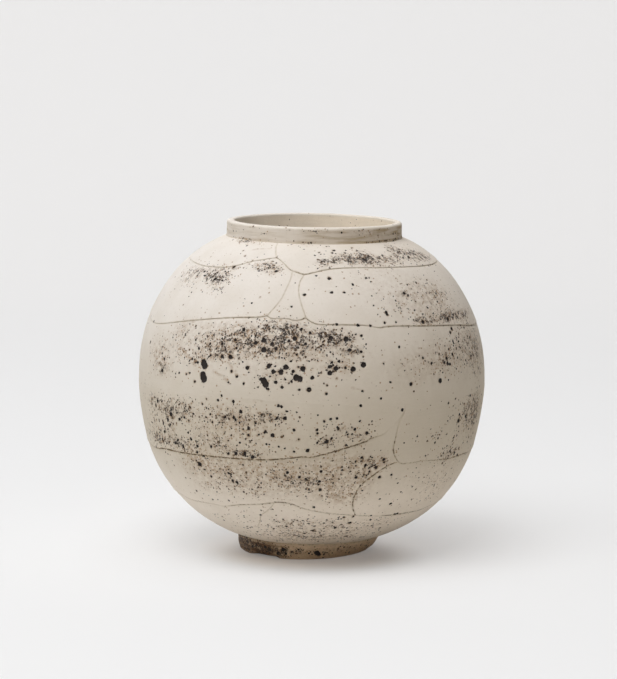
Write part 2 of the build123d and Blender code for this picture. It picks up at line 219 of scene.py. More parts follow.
# Large burnt-out specks at the front: azimuth, elevation, radius
front_pits = [
    (-24, 20, 2.3), (-16.5, 17, 2.9), (-16, 14, 3.2), (-26.5, 16.5, 2), (-27.5, 11, 2.7),
    (-37.4, 8.3, 4.3), (-36.8, 7.4, 4.2), (-37.3, 4.4, 4.2), (-36.8, 3.3, 4.5), (-41, 8, 1.7),
    (-42.5, 9, 1.5), (-48, 4, 1.5), (-43, 4.5, 1.7), (-40.5, 2, 1.6), (-21, 8, 2.5), (-26.5, 6.5, 1.9),
    (-24.5, 5, 1.9), (-14, 9, 2.7), (-12, 9, 1.5), (-8.5, 8.8, 3.1), (-10, 7.3, 3.2), (-6, 7.5, 1.9),
    (-3, 8.5, 3.1), (-4.5, 9, 1.3), (-5, 5.7, 3.9), (-3.9, 5.3, 3.6), (0, 5.8, 2.3), (-15.4, 4.3, 3.8),
    (-14.7, 3.2, 3.8), (-14, 1.8, 1.9), (-16.5, 4.8, 1.7), (-11.5, 4, 2.3), (-8.5, 5, 1.6),
    (-9.5, 2.5, 1.9), (-4, 2, 1.5), (-1, 2, 2.8), (-22, 3, 1.6), (-27.5, 3, 1.5), (-19, 16, 2.3),
    (-30.5, 11, 2.3), (-35, 11, 1.7), (-13.5, 16, 2.4), (-12, 14.5, 2.1), (-6, 18, 2.7), (-4, 21, 2),
    (-5, 13, 1.7), (-1, 20, 1.6), (-36, 14.5, 1.7), (-25.5, -3, 2.1), (-23, -6, 2.4), (-31, -3, 1.6),
    (-35.5, -3, 1.2), (-52, -8, 1.6), (-52.5, -10, 2.7), (-45.5, -5.5, 1.6), (-42.5, -6.5, 1.6),
    (-48, -11, 2.1), (-43.5, -11, 1.6), (-58, -14, 1.3), (-54, -14, 1.6), (-44.5, -15, 1.6),
    (-43.5, -17, 2.1), (-41, -19, 2.1), (-41.5, -21, 1.9), (-35, -18.5, 2), (-33.5, -20, 1.3),
    (-30.5, -20, 1.5), (-25.5, -20, 2.1), (-31.5, -17, 1.3), (-28.5, -8, 1.6), (-25.5, -8, 2),
    (-10.4, -3.4, 1.9), (-9.5, -3.7, 1.8), (-8, -5, 1.5), (-12.5, -13, 2.8), (-5.5, -11, 1.9),
    (-9, -13, 1.3), (-1, -17.5, 2.3), (2, -12, 1.7), (2, -15, 1.6), (-4, -14, 1.3), (-8.5, -17, 1.3),
    (-5.5, -18, 1.6), (-20, -15.5, 1.6), (-19.5, -20.5, 2.3), (-65.5, -11, 1.3), (-60.5, -7, 2),
    (-57.5, -6.5, 1.6), (-62.5, -19, 1.6), (-72.5, 18, 1.6), (-11, -7.5, 1.6), (-58, -20.5, 1.7),
    (-50, -20.5, 1.6), (-57.5, 3.5, 2.4), (-70, 11.3, 1.7), (-44.5, 4, 1.4), (6.5, 39.5, 2.3),
    (1, 40.5, 1.3), (7, 34, 1.9), (12, 34, 1.6), (16, 37, 1.7), (22.5, 39.5, 1.9), (24, 39.5, 1.2),
    (24, 38, 1.2), (20, 42, 1.3), (35.5, 49, 1.7), (11, 53, 1.7), (22.5, 29, 1.3), (27, 26.6, 2.1),
    (27.2, 25.8, 1.8), (25.5, 23, 1.7), (30, 23, 1.6), (37.5, 33, 1.9), (39, 32, 1.7), (45.5, 37, 1.2),
    (41.5, 22.5, 2.4), (55.5, 22.5, 2.6), (15.5, 22.5, 2), (20, 22.3, 1.6), (14.5, 19.5, 1.5),
    (16.5, 19, 1.7), (11, 18, 3.2), (12, 14.5, 2.4), (16, 14, 1.7), (4.5, 13, 1.6), (6, 18.5, 2.7),
    (29.5, 15, 1.5), (16.5, 9.8, 3.3), (13, 8.5, 3.1), (7.5, 8.8, 2.7), (5.5, 9.3, 2.4),
    (5.5, 7.3, 2.9), (10.5, 9, 1.7), (8.5, 11, 2), (23.5, 10, 1.3), (38.5, 11, 1.7), (42, 9, 1.9),
    (49.5, 10, 2.1), (53, 11, 2.1), (51, 8, 2.1), (45.5, 3.2, 2.9), (33, 3, 2.3), (25.5, 4, 1.6),
    (4.5, 0.8, 1.7), (16, 1.5, 1.6), (54.5, 18, 1.9), (67.5, 15, 1.7), (63.5, -3.5, 1.9), (62, 7, 1.3),
    (58.5, 12.5, 1.2), (15.5, -3, 1.9), (30, -5, 1.9), (8, -7, 1.7), (4, -8, 1.7), (15.5, -8, 1.5),
    (18, -12, 2), (5, -14.5, 2.4), (6.5, -13.5, 1.6), (45.5, -17, 1.7), (37, -14, 1.5), (61, -23, 2),
    (42, -21, 1.2), (25, -21, 2.1), (22.5, -23.5, 2.1), (20, -23.5, 1.5), (17, -20, 1.9),
    (24.5, -27, 2.1), (29, -26.5, 1.7), (3.5, -24.5, 1.9), (3.5, -31, 2), (3, -28, 1.9),
    (1.5, -38, 1.6), (33, -38, 1.9), (38.4, -43.2, 1.7), (39.8, -43.1, 1.7), (14.5, -43, 1.7),
    (18.5, -43, 1.5), (27.5, -45, 1.5), (37, -51, 1.6), (19, -51, 1.5), (50, -4.5, 1.7), (57, -9, 1.7),
    (61.5, -10, 1.6), (31.5, -28, 1.2), (42.5, -33, 1.2), (-37.5, -29, 1.7), (-28.5, -29.5, 1.9),
    (-29.5, -27, 1.6), (-49, -36, 1.3), (-21, -43, 1.6), (-28.5, -54, 1.6), (-17.5, -50.5, 1.6),
    (-11.5, -44.5, 1.3), (-41.5, -38.5, 1.2), (-37, -41, 1.2), (-43.5, -47, 1.2), (-54, 39, 1.8),
    (-70, 35.5, 1.6), (-61, 32, 1.0), (-44.5, 36.5, 1.9), (-40.5, 33, 1.2), (-38.5, 42.5, 1.9),
    (-24.5, 39.5, 1.0), (-17, 42, 1.8), (-24, 34, 0.8), (-20.5, 31.5, 0.8), (-39.5, 30, 0.8),
    (-44, 26, 0.8), (-33.5, 26, 0.8), (-3.5, 33, 2), (-8, 28.5, 1.5), (-55, 26, 0.8), (-54, 29, 0.8),
]

# Where mid-size specks are scattered at the front: azimuth, elevation, half width, half height, how many
front_scatter = [
    (-60, -7, 7, 3, 14), (-52, -9, 6, 3, 16), (-45, -8, 5, 4, 12), (-62, -15, 8, 5, 14),
    (-62, -19.3, 7, 1.6, 18), (-47, -19.3, 6, 1.8, 14), (-53, -14, 4, 5, 10), (-27, -8, 9, 4, 12),
    (-13, -7, 6, 2, 10), (-22, -19.3, 7, 1.3, 14), (10, -12, 9, 4, 20), (-20, -14, 16, 5, 14),
    (62, -8, 6, 6, 18), (68, -10, 6, 8, 18), (57, -14, 6, 5, 8), (55, -21, 7, 2, 12),
    (0, -48, 25, 5, 26), (10, -55, 30, 4, 22), (-12, 7, 12, 4, 18), (8, 9, 6, 3, 10),
    (-32, 11, 9, 4, 12), (52, 11, 8, 4, 14), (62, 14, 7, 6, 16), (-46, 38, 5, 3, 4),
    (-23, 43.5, 6, 1.6, 4), (20, 47.5, 8, 2.2, 4), (35, 48, 12, 3, 4), (60, 49, 10, 3, 5),
    (-15, 18, 14, 4, 7), (5, 18, 5, 3, 3), (-25, -27, 16, 4, 12), (5, -27, 12, 4, 10),
    (20, -23, 5, 2.5, 8), (40, 30, 14, 6, 6), (20, 52, 20, 3, 8), (-30, 50, 20, 4, 4),
]

# Strokes wiped into the front: points as (azimuth, elevation), half width, depth, rust
front_strokes = [
    ([(-24.7, 0.4), (-21.5, -0.8), (-18.7, -1.2), (-15.7, -2.2)], 1.0, 0.22, 0.6),
    ([(-20.5, -1.4), (-17.7, -2.6)], 1.0, 0.18, 0.6), ([(-16.7, -0.8), (-13.2, -1.4)], 1.0, 0.18, 0.6),
    ([(-35.5, 51.6), (-30.5, 52.6), (-25.7, 53.0)], 1.1, 0.30, 0.8),
    ([(-50.2, 12), (-45.7, 10.8), (-40.5, 7.4)], 2.2, 0.0, 1.5),
    ([(-33.2, 6.2), (-27, 3.2)], 1.8, 0.0, 1.1), ([(-27.5, 9.2), (-23.7, 4.6)], 2.0, 0.0, 1.2),
    ([(38.5, 11), (35.5, 11.2), (30.5, 9.2), (28, 7.4)], 1.2, 0.0, 0.8),
    ([(15.7, 1.6), (12.5, 2.8)], 1.2, 0.0, 0.7), ([(29.5, 14.8), (29.7, 13.2)], 1.0, 0.0, 0.8),
]


# Curves and surface of the jar

def bowl_arcs(first_arc, second_arc, sweep):
    """Centre of a bowl's second arc, and the elevation from the belly's centre where it starts."""
    outward = belly_radius - first_arc + (first_arc - second_arc) * math.cos(sweep)
    rise = (first_arc - second_arc) * math.sin(sweep)
    start = math.atan2(rise + second_arc * math.sin(sweep), outward + second_arc * math.cos(sweep))
    return outward, rise, start


shoulder_outward, shoulder_rise, shoulder_start = bowl_arcs(
    upper_belly_arc, shoulder_arc, upper_belly_sweep
)
base_outward, base_drop, base_start = bowl_arcs(lower_belly_arc, base_arc, lower_belly_sweep)


def second_arc_height(radius, outward, rise, arc):
    """Height over or under the widest line at which a bowl's second arc has a radius."""
    return rise + math.sqrt(arc**2 - (radius - outward) ** 2)


collar_seat = second_arc_height(collar_radius, shoulder_outward, shoulder_rise, shoulder_arc)
foot_seat = second_arc_height(foot_top_radius, base_outward, base_drop, base_arc)
belly_height = foot_height + foot_seat
upper_end = math.degrees(math.atan2(collar_seat, collar_radius))
lower_end = -math.degrees(math.atan2(foot_seat, foot_top_radius))


def profile(elevation):
    """Radius, height and slope of the outer face, at elevations seen from the belly's centre."""
    angle = np.radians(elevation)
    bands = [angle >= shoulder_start, angle >= 0, angle >= -base_start]
    belly_outward = [belly_radius - arc for arc in (upper_belly_arc, lower_belly_arc)]
    outward = np.select(bands, [shoulder_outward, *belly_outward], base_outward)
    rise = np.select(bands, [shoulder_rise, 0, 0], -base_drop)
    arc = np.select(bands, [shoulder_arc, upper_belly_arc, lower_belly_arc], base_arc)
    along = outward * np.cos(angle) + rise * np.sin(angle)
    across = outward * np.sin(angle) - rise * np.cos(angle)
    distance = along + np.sqrt(arc**2 - across**2)
    radius = distance * np.cos(angle)
    height = distance * np.sin(angle)
    return radius, belly_height + height, np.arctan2(height - rise, radius - outward)


def to_frame(radius, height, azimuth):
    """Points in the part's frame from a radius, a height along the leaning axis and an azimuth."""
    turn = np.radians(azimuth)
    across = radius * np.sin(turn)
    return np.stack(
        (
            across * math.cos(lean) + height * math.sin(lean),
            -radius * np.cos(turn),
            height * math.cos(lean) - across * math.sin(lean),
        ),
        axis=-1,
    )


def on_jar(azimuth, elevation):
    """Points on the outer face and its outward directions there."""
    radius, height, slope = profile(elevation)
    return to_frame(radius, height, azimuth), to_frame(np.cos(slope), np.sin(slope), azimuth)


def smooth_run(points, closed=False, steps=24):
    """Closely spaced points on a smooth curve through the given ones."""
    points = np.array(points, float)
    if closed:
        turn = np.zeros(points.shape[1])
        turn[0] = 360
        points = np.vstack((points[-1] - turn, points, points[:2] + turn))
    else:
        points = np.vstack((2 * points[0] - points[1], points, 2 * points[-1] - points[-2]))
    run = []
    for a, b, c, d in zip(points, points[1:], points[2:], points[3:]):
        gaps = [math.sqrt(math.dist(p[:2], q[:2])) for p, q in ((a, b), (b, c), (c, d))]
        start, end = gaps[0], gaps[0] + gaps[1]
        last = end + gaps[2]
        t = np.linspace(start, end, steps, endpoint=False)[:, None]
        ab = a + (b - a) * t / start
        bc = b + (c - b) * (t - start) / gaps[1]
        cd = c + (d - c) * (t - end) / gaps[2]
        abc = ab + (bc - ab) * t / end
        bcd = bc + (cd - bc) * (t - start) / (last - start)
        run.append(abc + (bcd - abc) * (t - start) / gaps[1])
    return np.vstack((*run, points[-2]))


def to_elevations(points, bowl_end):
    """Seam points with their shares turned into elevations."""
    return [(azimuth, share * bowl_end, open_share) for azimuth, share, open_share in points]


def level_seam(points, bowl_end):
    """Function that gives a level seam's points at any azimuths."""
    run = smooth_run(to_elevations(points, bowl_end), closed=True)
    return lambda azimuth: at_azimuth(run, azimuth)


def at_azimuth(run, azimuth, closed=True):
    """Points of a run round the jar, at azimuths that a closed run takes from any turn."""
    along = run[0, 0] + (azimuth - run[0, 0]) % 360 if closed else azimuth
    rest = [np.interp(along, run[:, 0], run[:, column]) for column in (1, 2)]
    return np.stack((azimuth, *rest), axis=-1)


def tongue_seam():
    """The lower belly seam: from the tongue's root it runs once round the jar and climbs to the tip."""
    right = smooth_run(to_elevations(lower_belly_seam_right, lower_end))
    left = smooth_run(to_elevations(lower_belly_seam_left, lower_end)) + (360, 0, 0)
    run = np.vstack((right, left[1:]))
    return lambda azimuth: at_azimuth(run, azimuth, closed=False)


def level_line(elevation, open_share):
    """A seam that stays level, in the form of the other seams."""
    return lambda azimuth: np.stack(
        (azimuth, np.full_like(azimuth, elevation), np.full_like(azimuth, open_share)), axis=-1
    )


def cut_off(run, room):
    """A run from where it first has room, starting at the crossing."""
    first = np.flatnonzero(room > 0)[0]
    if first == 0:
        return run
    share = room[first] / (room[first] - room[first - 1])
    return np.vstack((run[first] + share * (run[first - 1] - run[first]), run[first:]))


def upright(points, bowl_end, lower=None, upper=None):
    """An upright seam, climbing, cut off at a lower and an upper level seam where these are given."""
    run = smooth_run(to_elevations(points, bowl_end))
    if run[0, 1] > run[-1, 1]:
        run = run[::-1]
    if lower:
        run = cut_off(run, run[:, 1] - lower(run[:, 0])[:, 1])
    if upper:
        run = cut_off(run[::-1], (upper(run[:, 0])[:, 1] - run[:, 1])[::-1])[::-1]
    return run


# Meshes: a slab's grid lines near an edge, its step further in, and how many steps one of the inside spans
edge_offsets = np.array([0.0, 0.4, 0.9, 1.6, 2.6])
grid_step = 1.5
inner_every = 4
seam_samples = 400
least_step = 0.15
sharp_angle = math.radians(60)


def ripple(points, size, offset):
    """Smooth noise from about -1 to 1 at each point, with features of a given size."""
    shape = points.shape[:-1]
    rows = (points.reshape(-1, 3) / size + offset).tolist()
    return np.array([noise.noise(row) for row in rows]).reshape(shape)


def ripples(points, layers):
    """Ripples laid over each other, each with its height, size and offset."""
    return sum(height * ripple(points, size, offset) for height, size, offset in layers)


def signed(azimuth):
    """Azimuths brought to between -180 and 180."""
    return (azimuth + 180) % 360 - 180


def fade(value, low, high):
    """0 below low, 1 above high, and a smooth step between."""
    share = np.clip((value - low) / (high - low), 0, 1)
    return share * share * (3 - 2 * share)


def cluster_fields(azimuth, elevation, clusters):
    """How densely a place is specked, and how rusty it is, from 0 to 1."""
    clear = np.ones_like(azimuth)
    clean = np.ones_like(azimuth)
    for middle, height, half_width, half_height, specks, rust in clusters:
        aside = signed(azimuth - middle)
        reach = np.exp(-((aside / half_width) ** 2) - ((elevation - height) / half_height) ** 2)
        clear *= 1 - np.minimum(specks * reach, 1)
        clean *= 1 - np.minimum(rust * reach, 1)
    return 1 - clear, 1 - clean


def pit_field(points, pits):
    """Depth inside the nearest large pit's rim, in millimetres, and less than 0 outside it."""
    middles, _ = on_jar(np.array([pit[0] for pit in pits]), np.array([pit[1] for pit in pits]))
    best = np.full(points.shape[:-1], no_pit)
    for middle, pit in zip(middles, pits):
        best = np.maximum(best, pit[2] - np.linalg.norm(points - middle, axis=-1))
    return best


def stroke_reach(points, stroke, half_width):
    """How strongly a stroke marks each point, from 0 to 1."""
    run = np.array(stroke)
    ends, _ = on_jar(run[:, 0], run[:, 1])
    best = np.full(points.shape[:-1], np.inf)
    for start, end in zip(ends, ends[1:]):
        way = end - start
        along = np.clip(((points - start) @ way) / (way @ way), 0, 1)
        best = np.minimum(best, np.linalg.norm(points - start - along[..., None] * way, axis=-1))
    return np.exp(-((best / half_width) ** 2))


def belly_ridge(azimuth, elevation):
    """The soft ridge where the wiped coil meets the lower belly."""
    edge = coil_lower_level(azimuth.ravel())[:, 1].reshape(azimuth.shape)
    away = (elevation - edge) * math.radians(belly_radius)
    return ridge_height * np.exp(-np.abs(away) / np.where(away > 0, ridge_above, ridge_below))


def new_object(node, vertices, faces, material, fields):
    """A piece made from millimetre vertices, which stands for a CAD node and moves with the jar."""
    name = node + "_clay"
    mesh = bpy.data.meshes.new(name)
    mesh.from_pydata((vertices * MILLIMETRE).tolist(), [], faces)
    mesh.polygons.foreach_set("use_smooth", [True] * len(mesh.polygons))
    mesh.set_sharp_from_angle(angle=sharp_angle)
    for field, values in fields.items():
        attribute = mesh.attributes.new(field, "FLOAT", "POINT")
        attribute.data.foreach_set("value", np.ascontiguousarray(values, dtype=np.float32))
    mesh.materials.append(material)
    mesh.update()
    piece = bpy.data.objects.new(name, mesh)
    bpy.context.scene.collection.objects.link(piece)
    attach(piece, "root")
    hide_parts(node)


def lengths_along(points):
    """Length of a run of points up to each of them."""
    return np.concatenate(([0], np.cumsum(np.linalg.norm(np.diff(points, axis=0), axis=1))))


def grid_lines(length):
    """Shares of a length at which a grid has lines: close at both ends, even between."""
    between = length - 2 * edge_offsets[-1]
    count = max(1, round(between / grid_step))
    total = count + 2 * (len(edge_offsets) - 1)
    count += -total % inner_every
    even = np.linspace(edge_offsets[-1], length - edge_offsets[-1], count + 1)
    return np.concatenate((edge_offsets[:-1], even, (length - edge_offsets[:-1])[::-1])) / length


def run_length(run):
    """Length of a run of (azimuth, elevation) points on the outer face."""
    return lengths_along(on_jar(run[:, 0], run[:, 1])[0])[-1]


def resample(run, shares):
    """Points at shares of a run's length on the outer face."""
    along = lengths_along(on_jar(run[:, 0], run[:, 1])[0])
    at = shares * along[-1]
    return np.stack([np.interp(at, along, run[:, column]) for column in range(run.shape[1])], axis=-1)


def slab_patch(lower, upper, left, right, bite):
    """Grid of (azimuth, elevation) points that fills a slab's outline, and its four edges' openness."""
    def edge(seam, start, end):
        run = seam(np.linspace(start[0], end[0], seam_samples))
        run[0], run[-1] = start, end
        return run

    if bite is None:
        bottom = edge(lower, left[0], right[0])
    else:
        bottom = np.vstack((edge(lower, left[0], bite[0]), bite[1:]))
    top = edge(upper, left[-1], right[-1])
    u = grid_lines((run_length(bottom) + run_length(top)) / 2)
    v = grid_lines((run_length(left) + run_length(right)) / 2)
    bottom, top = resample(bottom, u), resample(top, u)
    left, right = resample(left, v), resample(right, v)
    across, up = u[None, :, None], v[:, None, None]
    ruled_up = (1 - up) * bottom[None] + up * top[None]
    ruled_across = (1 - across) * left[:, None] + across * right[:, None]
    corners = (1 - up) * ((1 - across) * bottom[0] + across * bottom[-1]) + up * (
        (1 - across) * top[0] + across * top[-1]
    )
    grid = (ruled_up + ruled_across - corners)[..., :2]
    return grid, (bottom[:, 2], top[:, 2], left[:, 2], right[:, 2])


def edge_distance(points, axis, from_end):
    """Distance of each grid point from one edge of its grid, square to that edge."""
    rows = np.moveaxis(points, axis, 0)
    if from_end:
        rows = rows[::-1]
    steps = np.linalg.norm(np.diff(rows, axis=0), axis=-1)
    along = np.concatenate((np.zeros_like(steps[:1]), np.cumsum(steps, axis=0)))
    edge = np.gradient(rows[0], axis=0)
    leave = rows[1] - rows[0]
    edge /= np.linalg.norm(edge, axis=-1, keepdims=True)
    leave /= np.linalg.norm(leave, axis=-1, keepdims=True)
    along = along * np.linalg.norm(np.cross(edge, leave), axis=-1)
    if from_end:
        along = along[::-1]
    return np.moveaxis(along, 0, axis)


def edge_drop(distance, radius):
    """How far a rounded edge falls away, at a distance from it."""
    radius = np.maximum(radius, least_round)
    inside = np.clip(radius - distance, 0, radius)
    return radius - np.sqrt(radius**2 - inside**2)


def grid_faces(rows, columns, first, reverse=False):
    """Quads of a grid of vertices, numbered row by row from the first."""
    corner = (first + np.arange(rows - 1)[:, None] * columns + np.arange(columns - 1)).ravel()
    faces = np.stack((corner, corner + 1, corner + columns + 1, corner + columns), axis=-1)
    return (faces[:, ::-1] if reverse else faces).tolist()


def wall_faces(outer, inner, flip):
    """Faces between an outer edge and an inner one that has every so many of its lines."""
    faces = []
    for place in range(len(inner) - 1):
        run = outer[place * inner_every : (place + 1) * inner_every + 1]
        pair = inner[place : place + 2]
        faces.append([*run, *pair[::-1]] if flip else [*run[::-1], *pair])
    return faces


def make_slab(name, lower, upper, left, right, bite=None):
    """One slab: rounded open edges, a lapping lower edge, pits, and the fields that its look follows.

    A bite is a run that goes on from the end of its lower edge, where the next slab reaches into it.
    """
    if right[0, 0] < left[0, 0]:
        right = right + (360, 0, 0)
        bite = None if bite is None else bite + (360, 0, 0)
    grid, openness = slab_patch(lower, upper, left, right, bite)
    azimuth, elevation = grid[..., 0], grid[..., 1]
    flat, outward = on_jar(azimuth, elevation)
    rows, columns = azimuth.shape

    worn = 1 + ripples(flat, edge_ripples)
    drop, seam, proud = np.zeros((3, rows, columns))
    sides = (
        (0, False, lap_proud, proud_reach),
        (0, True, -lap_sunk, sunk_reach),
        (1, False, end_proud, sunk_reach),
        (1, True, -end_sunk, sunk_reach),
    )
    for (axis, from_end, step, reach), open_share in zip(sides, openness):
        distance = edge_distance(flat, axis, from_end)
        open_share = open_share[None, :] if axis == 0 else open_share[:, None]
        stain_and_shade_width = seam_stain_and_shade * np.maximum(open_share, 1.0)
        seam = np.maximum(seam, open_share * np.exp(-((distance / stain_and_shade_width) ** 2)))
        relief_share = np.minimum(open_share, relief_most)
        drop = np.maximum(drop, edge_drop(distance, edge_round * relief_share * worn))
        proud += step * relief_share * np.exp(-((distance / reach) ** 2))

    pit = pit_field(flat, all_pits)
    dent = pit_depth * fade(pit, *pit_span)
    specks, rust = cluster_fields(azimuth, elevation, all_clusters)
    for stroke, half_width, depth, brown in front_strokes:
        reach = stroke_reach(flat, stroke, half_width)
        dent = np.maximum(dent, depth * reach)
        rust = np.maximum(rust, brown * reach)
    proud += belly_ridge(azimuth, elevation)
    outer = flat + outward * (ripples(flat, wall_ripples) + proud - drop - dent)[..., None]

    inside = (flat - outward * wall)[::inner_every, ::inner_every]
    vertices = np.vstack((outer.reshape(-1, 3), inside.reshape(-1, 3)))
    outer_count, inner_count = azimuth.size, inside[..., 0].size
    outer_index = np.arange(outer_count).reshape(rows, columns)
    inner_index = outer_count + np.arange(inner_count).reshape(inside.shape[:2])
    faces = grid_faces(rows, columns, 0)
    faces += grid_faces(*inside.shape[:2], outer_count, reverse=True)
    faces += wall_faces(outer_index[0], inner_index[0], flip=False)
    faces += wall_faces(outer_index[-1], inner_index[-1], flip=True)
    faces += wall_faces(outer_index[:, 0], inner_index[:, 0], flip=True)
    faces += wall_faces(outer_index[:, -1], inner_index[:, -1], flip=False)

    looks = (("specks", specks, 0.0), ("rust", rust, 0.0), ("seam", seam, 0.0), ("pit", pit, no_pit))
    fields = {
        key: np.concatenate((outside.ravel(), np.full(inner_count, within)))
        for key, outside, within in looks
    }
    new_object(name, vertices, faces, stoneware, fields)


def ring_faces(steps, around_section):
    """Quads of a ring of closed sections, numbered section by section."""
    here = np.arange(steps * around_section).reshape(steps, around_section)
    ahead = np.roll(here, -1, axis=0)
    quads = np.stack((here, ahead, np.roll(ahead, -1, axis=1), np.roll(here, -1, axis=1)), axis=-1)
    return quads.reshape(-1, 4).tolist()


def make_ring(node, section, steps, shape, material, fields_at):
    """A ring whose section goes up the outside and down the inside, shaped by a function of its points."""
    azimuth = np.linspace(0, 360, steps, endpoint=False)[:, None] + np.zeros(len(section))
    radius, height = shape(section[:, 0] + 0 * azimuth, section[:, 1] + 0 * azimuth, azimuth)
    points = to_frame(radius, height, azimuth)
    faces = ring_faces(*points.shape[:2])
    fields = {key: values.ravel() for key, values in fields_at(radius, height, azimuth).items()}
    new_object(node, points.reshape(-1, 3), faces, material, fields)


def arc_points(centre, radius, start, end, count):
    """Points on an arc of a section, angles in degrees from outward."""
    angles = np.radians(np.linspace(start, end, count))
    return [(centre[0] + radius * math.cos(a), centre[1] + radius * math.sin(a)) for a in angles]


def section_points(corners, step):
    """A closed section divided into short steps."""
    corners = np.array([*corners, corners[0]], float)
    along = lengths_along(corners)
    count = round(along[-1] / step)
    at = np.union1d(np.linspace(0, along[-1], count + 1)[:-1], along[:-1])
    keep = np.concatenate(([True], np.diff(at) > least_step))
    return np.stack([np.interp(at[keep], along, corners[:, column]) for column in (0, 1)], axis=-1)


# Materials

class Nodes:
    """A tree of shader nodes, with short ways to add them."""

    def __init__(self, tree):
        self.tree = tree

    def node(self, kind, inputs=None, **settings):
        """Adds a node with its settings. Its inputs are values, or sockets to link."""
        new = self.tree.nodes.new("ShaderNode" + kind)
        for key, value in settings.items():
            setattr(new, key, value)
        for key, value in (inputs or {}).items():
            self.join(value, new.inputs[key])
        return new

    def join(self, value, socket):
        """Links a socket, or sets its value."""
        if isinstance(value, bpy.types.NodeSocket):
            self.tree.links.new(value, socket)
        elif isinstance(value, tuple) and len(value) == 3 and socket.type == "RGBA":
            socket.default_value = (*value, 1.0)
        else:
            socket.default_value = value

    def math(self, operation, first, second, clamp=False):
        """One step of arithmetic."""
        return self.node("Math", {0: first, 1: second}, operation=operation, use_clamp=clamp).outputs[0]

    def times(self, first, second, clamp=False):
        """A product."""
        return self.math("MULTIPLY", first, second, clamp)

    def plus(self, first, second):
        """A sum."""
        return self.math("ADD", first, second)

    def seen(self):
        """1 for rays that see a thing directly, mirrored or through glass, and 0 for other rays."""
        path = self.node("LightPath").outputs
        mirrored = self.math("MAXIMUM", path["Is Glossy Ray"], path["Is Transmission Ray"])
        return self.math("MAXIMUM", path["Is Camera Ray"], mirrored)

    def show(self, share, first, second, output):
        """Sends a mix of two shaders to the tree's output."""
        mixed = self.node("MixShader", {0: share, 1: first.outputs[0], 2: second.outputs[0]})
        self.join(mixed.outputs[0], self.tree.nodes[output].inputs["Surface"])


class Shader(Nodes):
    """A material's nodes, with places and sizes in millimetres."""

    def __init__(self, name):
        self.material = bpy.data.materials.new(name)
        self.material.use_nodes = True
        super().__init__(self.material.node_tree)
        self.surface = self.tree.nodes["Principled BSDF"]
        metres = self.node("TexCoord").outputs["Object"]
        self.place = self.vector("SCALE", {0: metres, "Scale": 1 / MILLIMETRE})

    def vector(self, operation, inputs):
        """One step of arithmetic on places."""
        return self.node("VectorMath", inputs, operation=operation).outputs[0]

    def distance(self, middle):
        """Distance from a place."""
        return self.node("VectorMath", {0: self.place, 1: middle}, operation="DISTANCE").outputs["Value"]

    def mix(self, share, first, second, blend="MIX"):
        """A colour between two, or one that is tinted by another."""
        inputs = {0: share, 6: first, 7: second}
        return self.node("Mix", inputs, data_type="RGBA", blend_type=blend).outputs[2]

    def cover(self, colour, mask, strength, other):
        """A colour with another laid over it where a mask says."""
        return self.mix(self.times(mask, strength), colour, other)

    def field(self, name):
        """One of the fields that the mesh carries."""
        return self.node("Attribute", attribute_name=name).outputs["Fac"]

    def noise(self, size, detail=2.0, place=None, output=0):
        """Noise with features of a given size."""
        inputs = {"Vector": place or self.place, "Scale": 1 / size, "Detail": detail}
        return self.node("TexNoise", inputs).outputs[output]

    def step(self, value, low, high):
        """0 below low, 1 above high, and a smooth step between."""
        inputs = {"Value": value, "From Min": low, "From Max": high}
        return self.node("MapRange", inputs, interpolation_type="SMOOTHSTEP").outputs[0]

    def patches(self, size, detail, low, high):
        """Patches of noise: 0 where it is below low, 1 where it is above high."""
        return self.step(self.noise(size, detail), low, high)

    def between(self, value, low, high):
        """A number that goes from low to high as a value goes from 0 to 1."""
        return self.node("MapRange", {"Value": value, "To Min": low, "To Max": high}).outputs[0]

    def finish(self, colour, height, dark):
        """Joins a colour, a relief in millimetres and a mask of glassier specks to the surface."""
        surface = self.surface.inputs
        bump = self.node("Bump", {"Height": height, "Distance": MILLIMETRE})
        self.join(colour, surface["Base Color"])
        self.join(bump.outputs[0], surface["Normal"])
        self.join(self.between(dark, clay_roughness, speck_roughness), surface["Roughness"])
        surface["Specular IOR Level"].default_value = clay_gloss

    def crooked(self, size, amount):
        """The place, pushed about by noise, for ragged outlines."""
        centred = self.vector("SUBTRACT", {0: self.noise(size, output=1), 1: (noise_middle,) * 3})
        pushed = self.vector("SCALE", {0: centred, "Scale": amount})
        return self.vector("ADD", {0: self.place, 1: pushed})

    def specks(self, place, cell, density, least, most):
        """Ragged specks, one to a cell where the cell's own number is below the density."""
        cells = self.node("TexVoronoi", {"Vector": place, "Scale": 1 / cell}, feature="F1").outputs
        numbers = self.node("SeparateColor", {0: cells["Color"]}).outputs
        there = self.math("LESS_THAN", numbers[0], density)
        radius = self.between(self.math("POWER", numbers[1], small_power), least, most)
        inside = self.step(self.math("SUBTRACT", radius, cells["Distance"]), *speck_edge)
        return self.times(there, inside), numbers[2]


# Colours
clay_pale = (0.775, 0.728, 0.68)
clay_lip = (0.815, 0.765, 0.71)
clay_low = (0.622, 0.552, 0.452)
clay_base_with_painted_bounce = (0.80, 0.715, 0.613)
clay_dull = (0.50, 0.415, 0.30)
clay_inside = (0.56, 0.48, 0.38)
painted_warm_shade = (1.005, 0.973, 0.92)
painted_light_inside = (0.97, 0.865, 0.73)
stain_brown = (0.36, 0.265, 0.17)
stain_grey = (0.22, 0.195, 0.175)
smear_brown = (0.34, 0.235, 0.11)
scorch_brown = (0.15, 0.085, 0.045)
iron_black = (0.012, 0.007, 0.005)
iron_brown = (0.10, 0.058, 0.030)
rust_brown = (0.31, 0.185, 0.09)
seam_tan = (0.47, 0.38, 0.26)
seam_dark_and_painted_shade = (0.10, 0.065, 0.035)
foot_tan = (0.84, 0.66, 0.475)

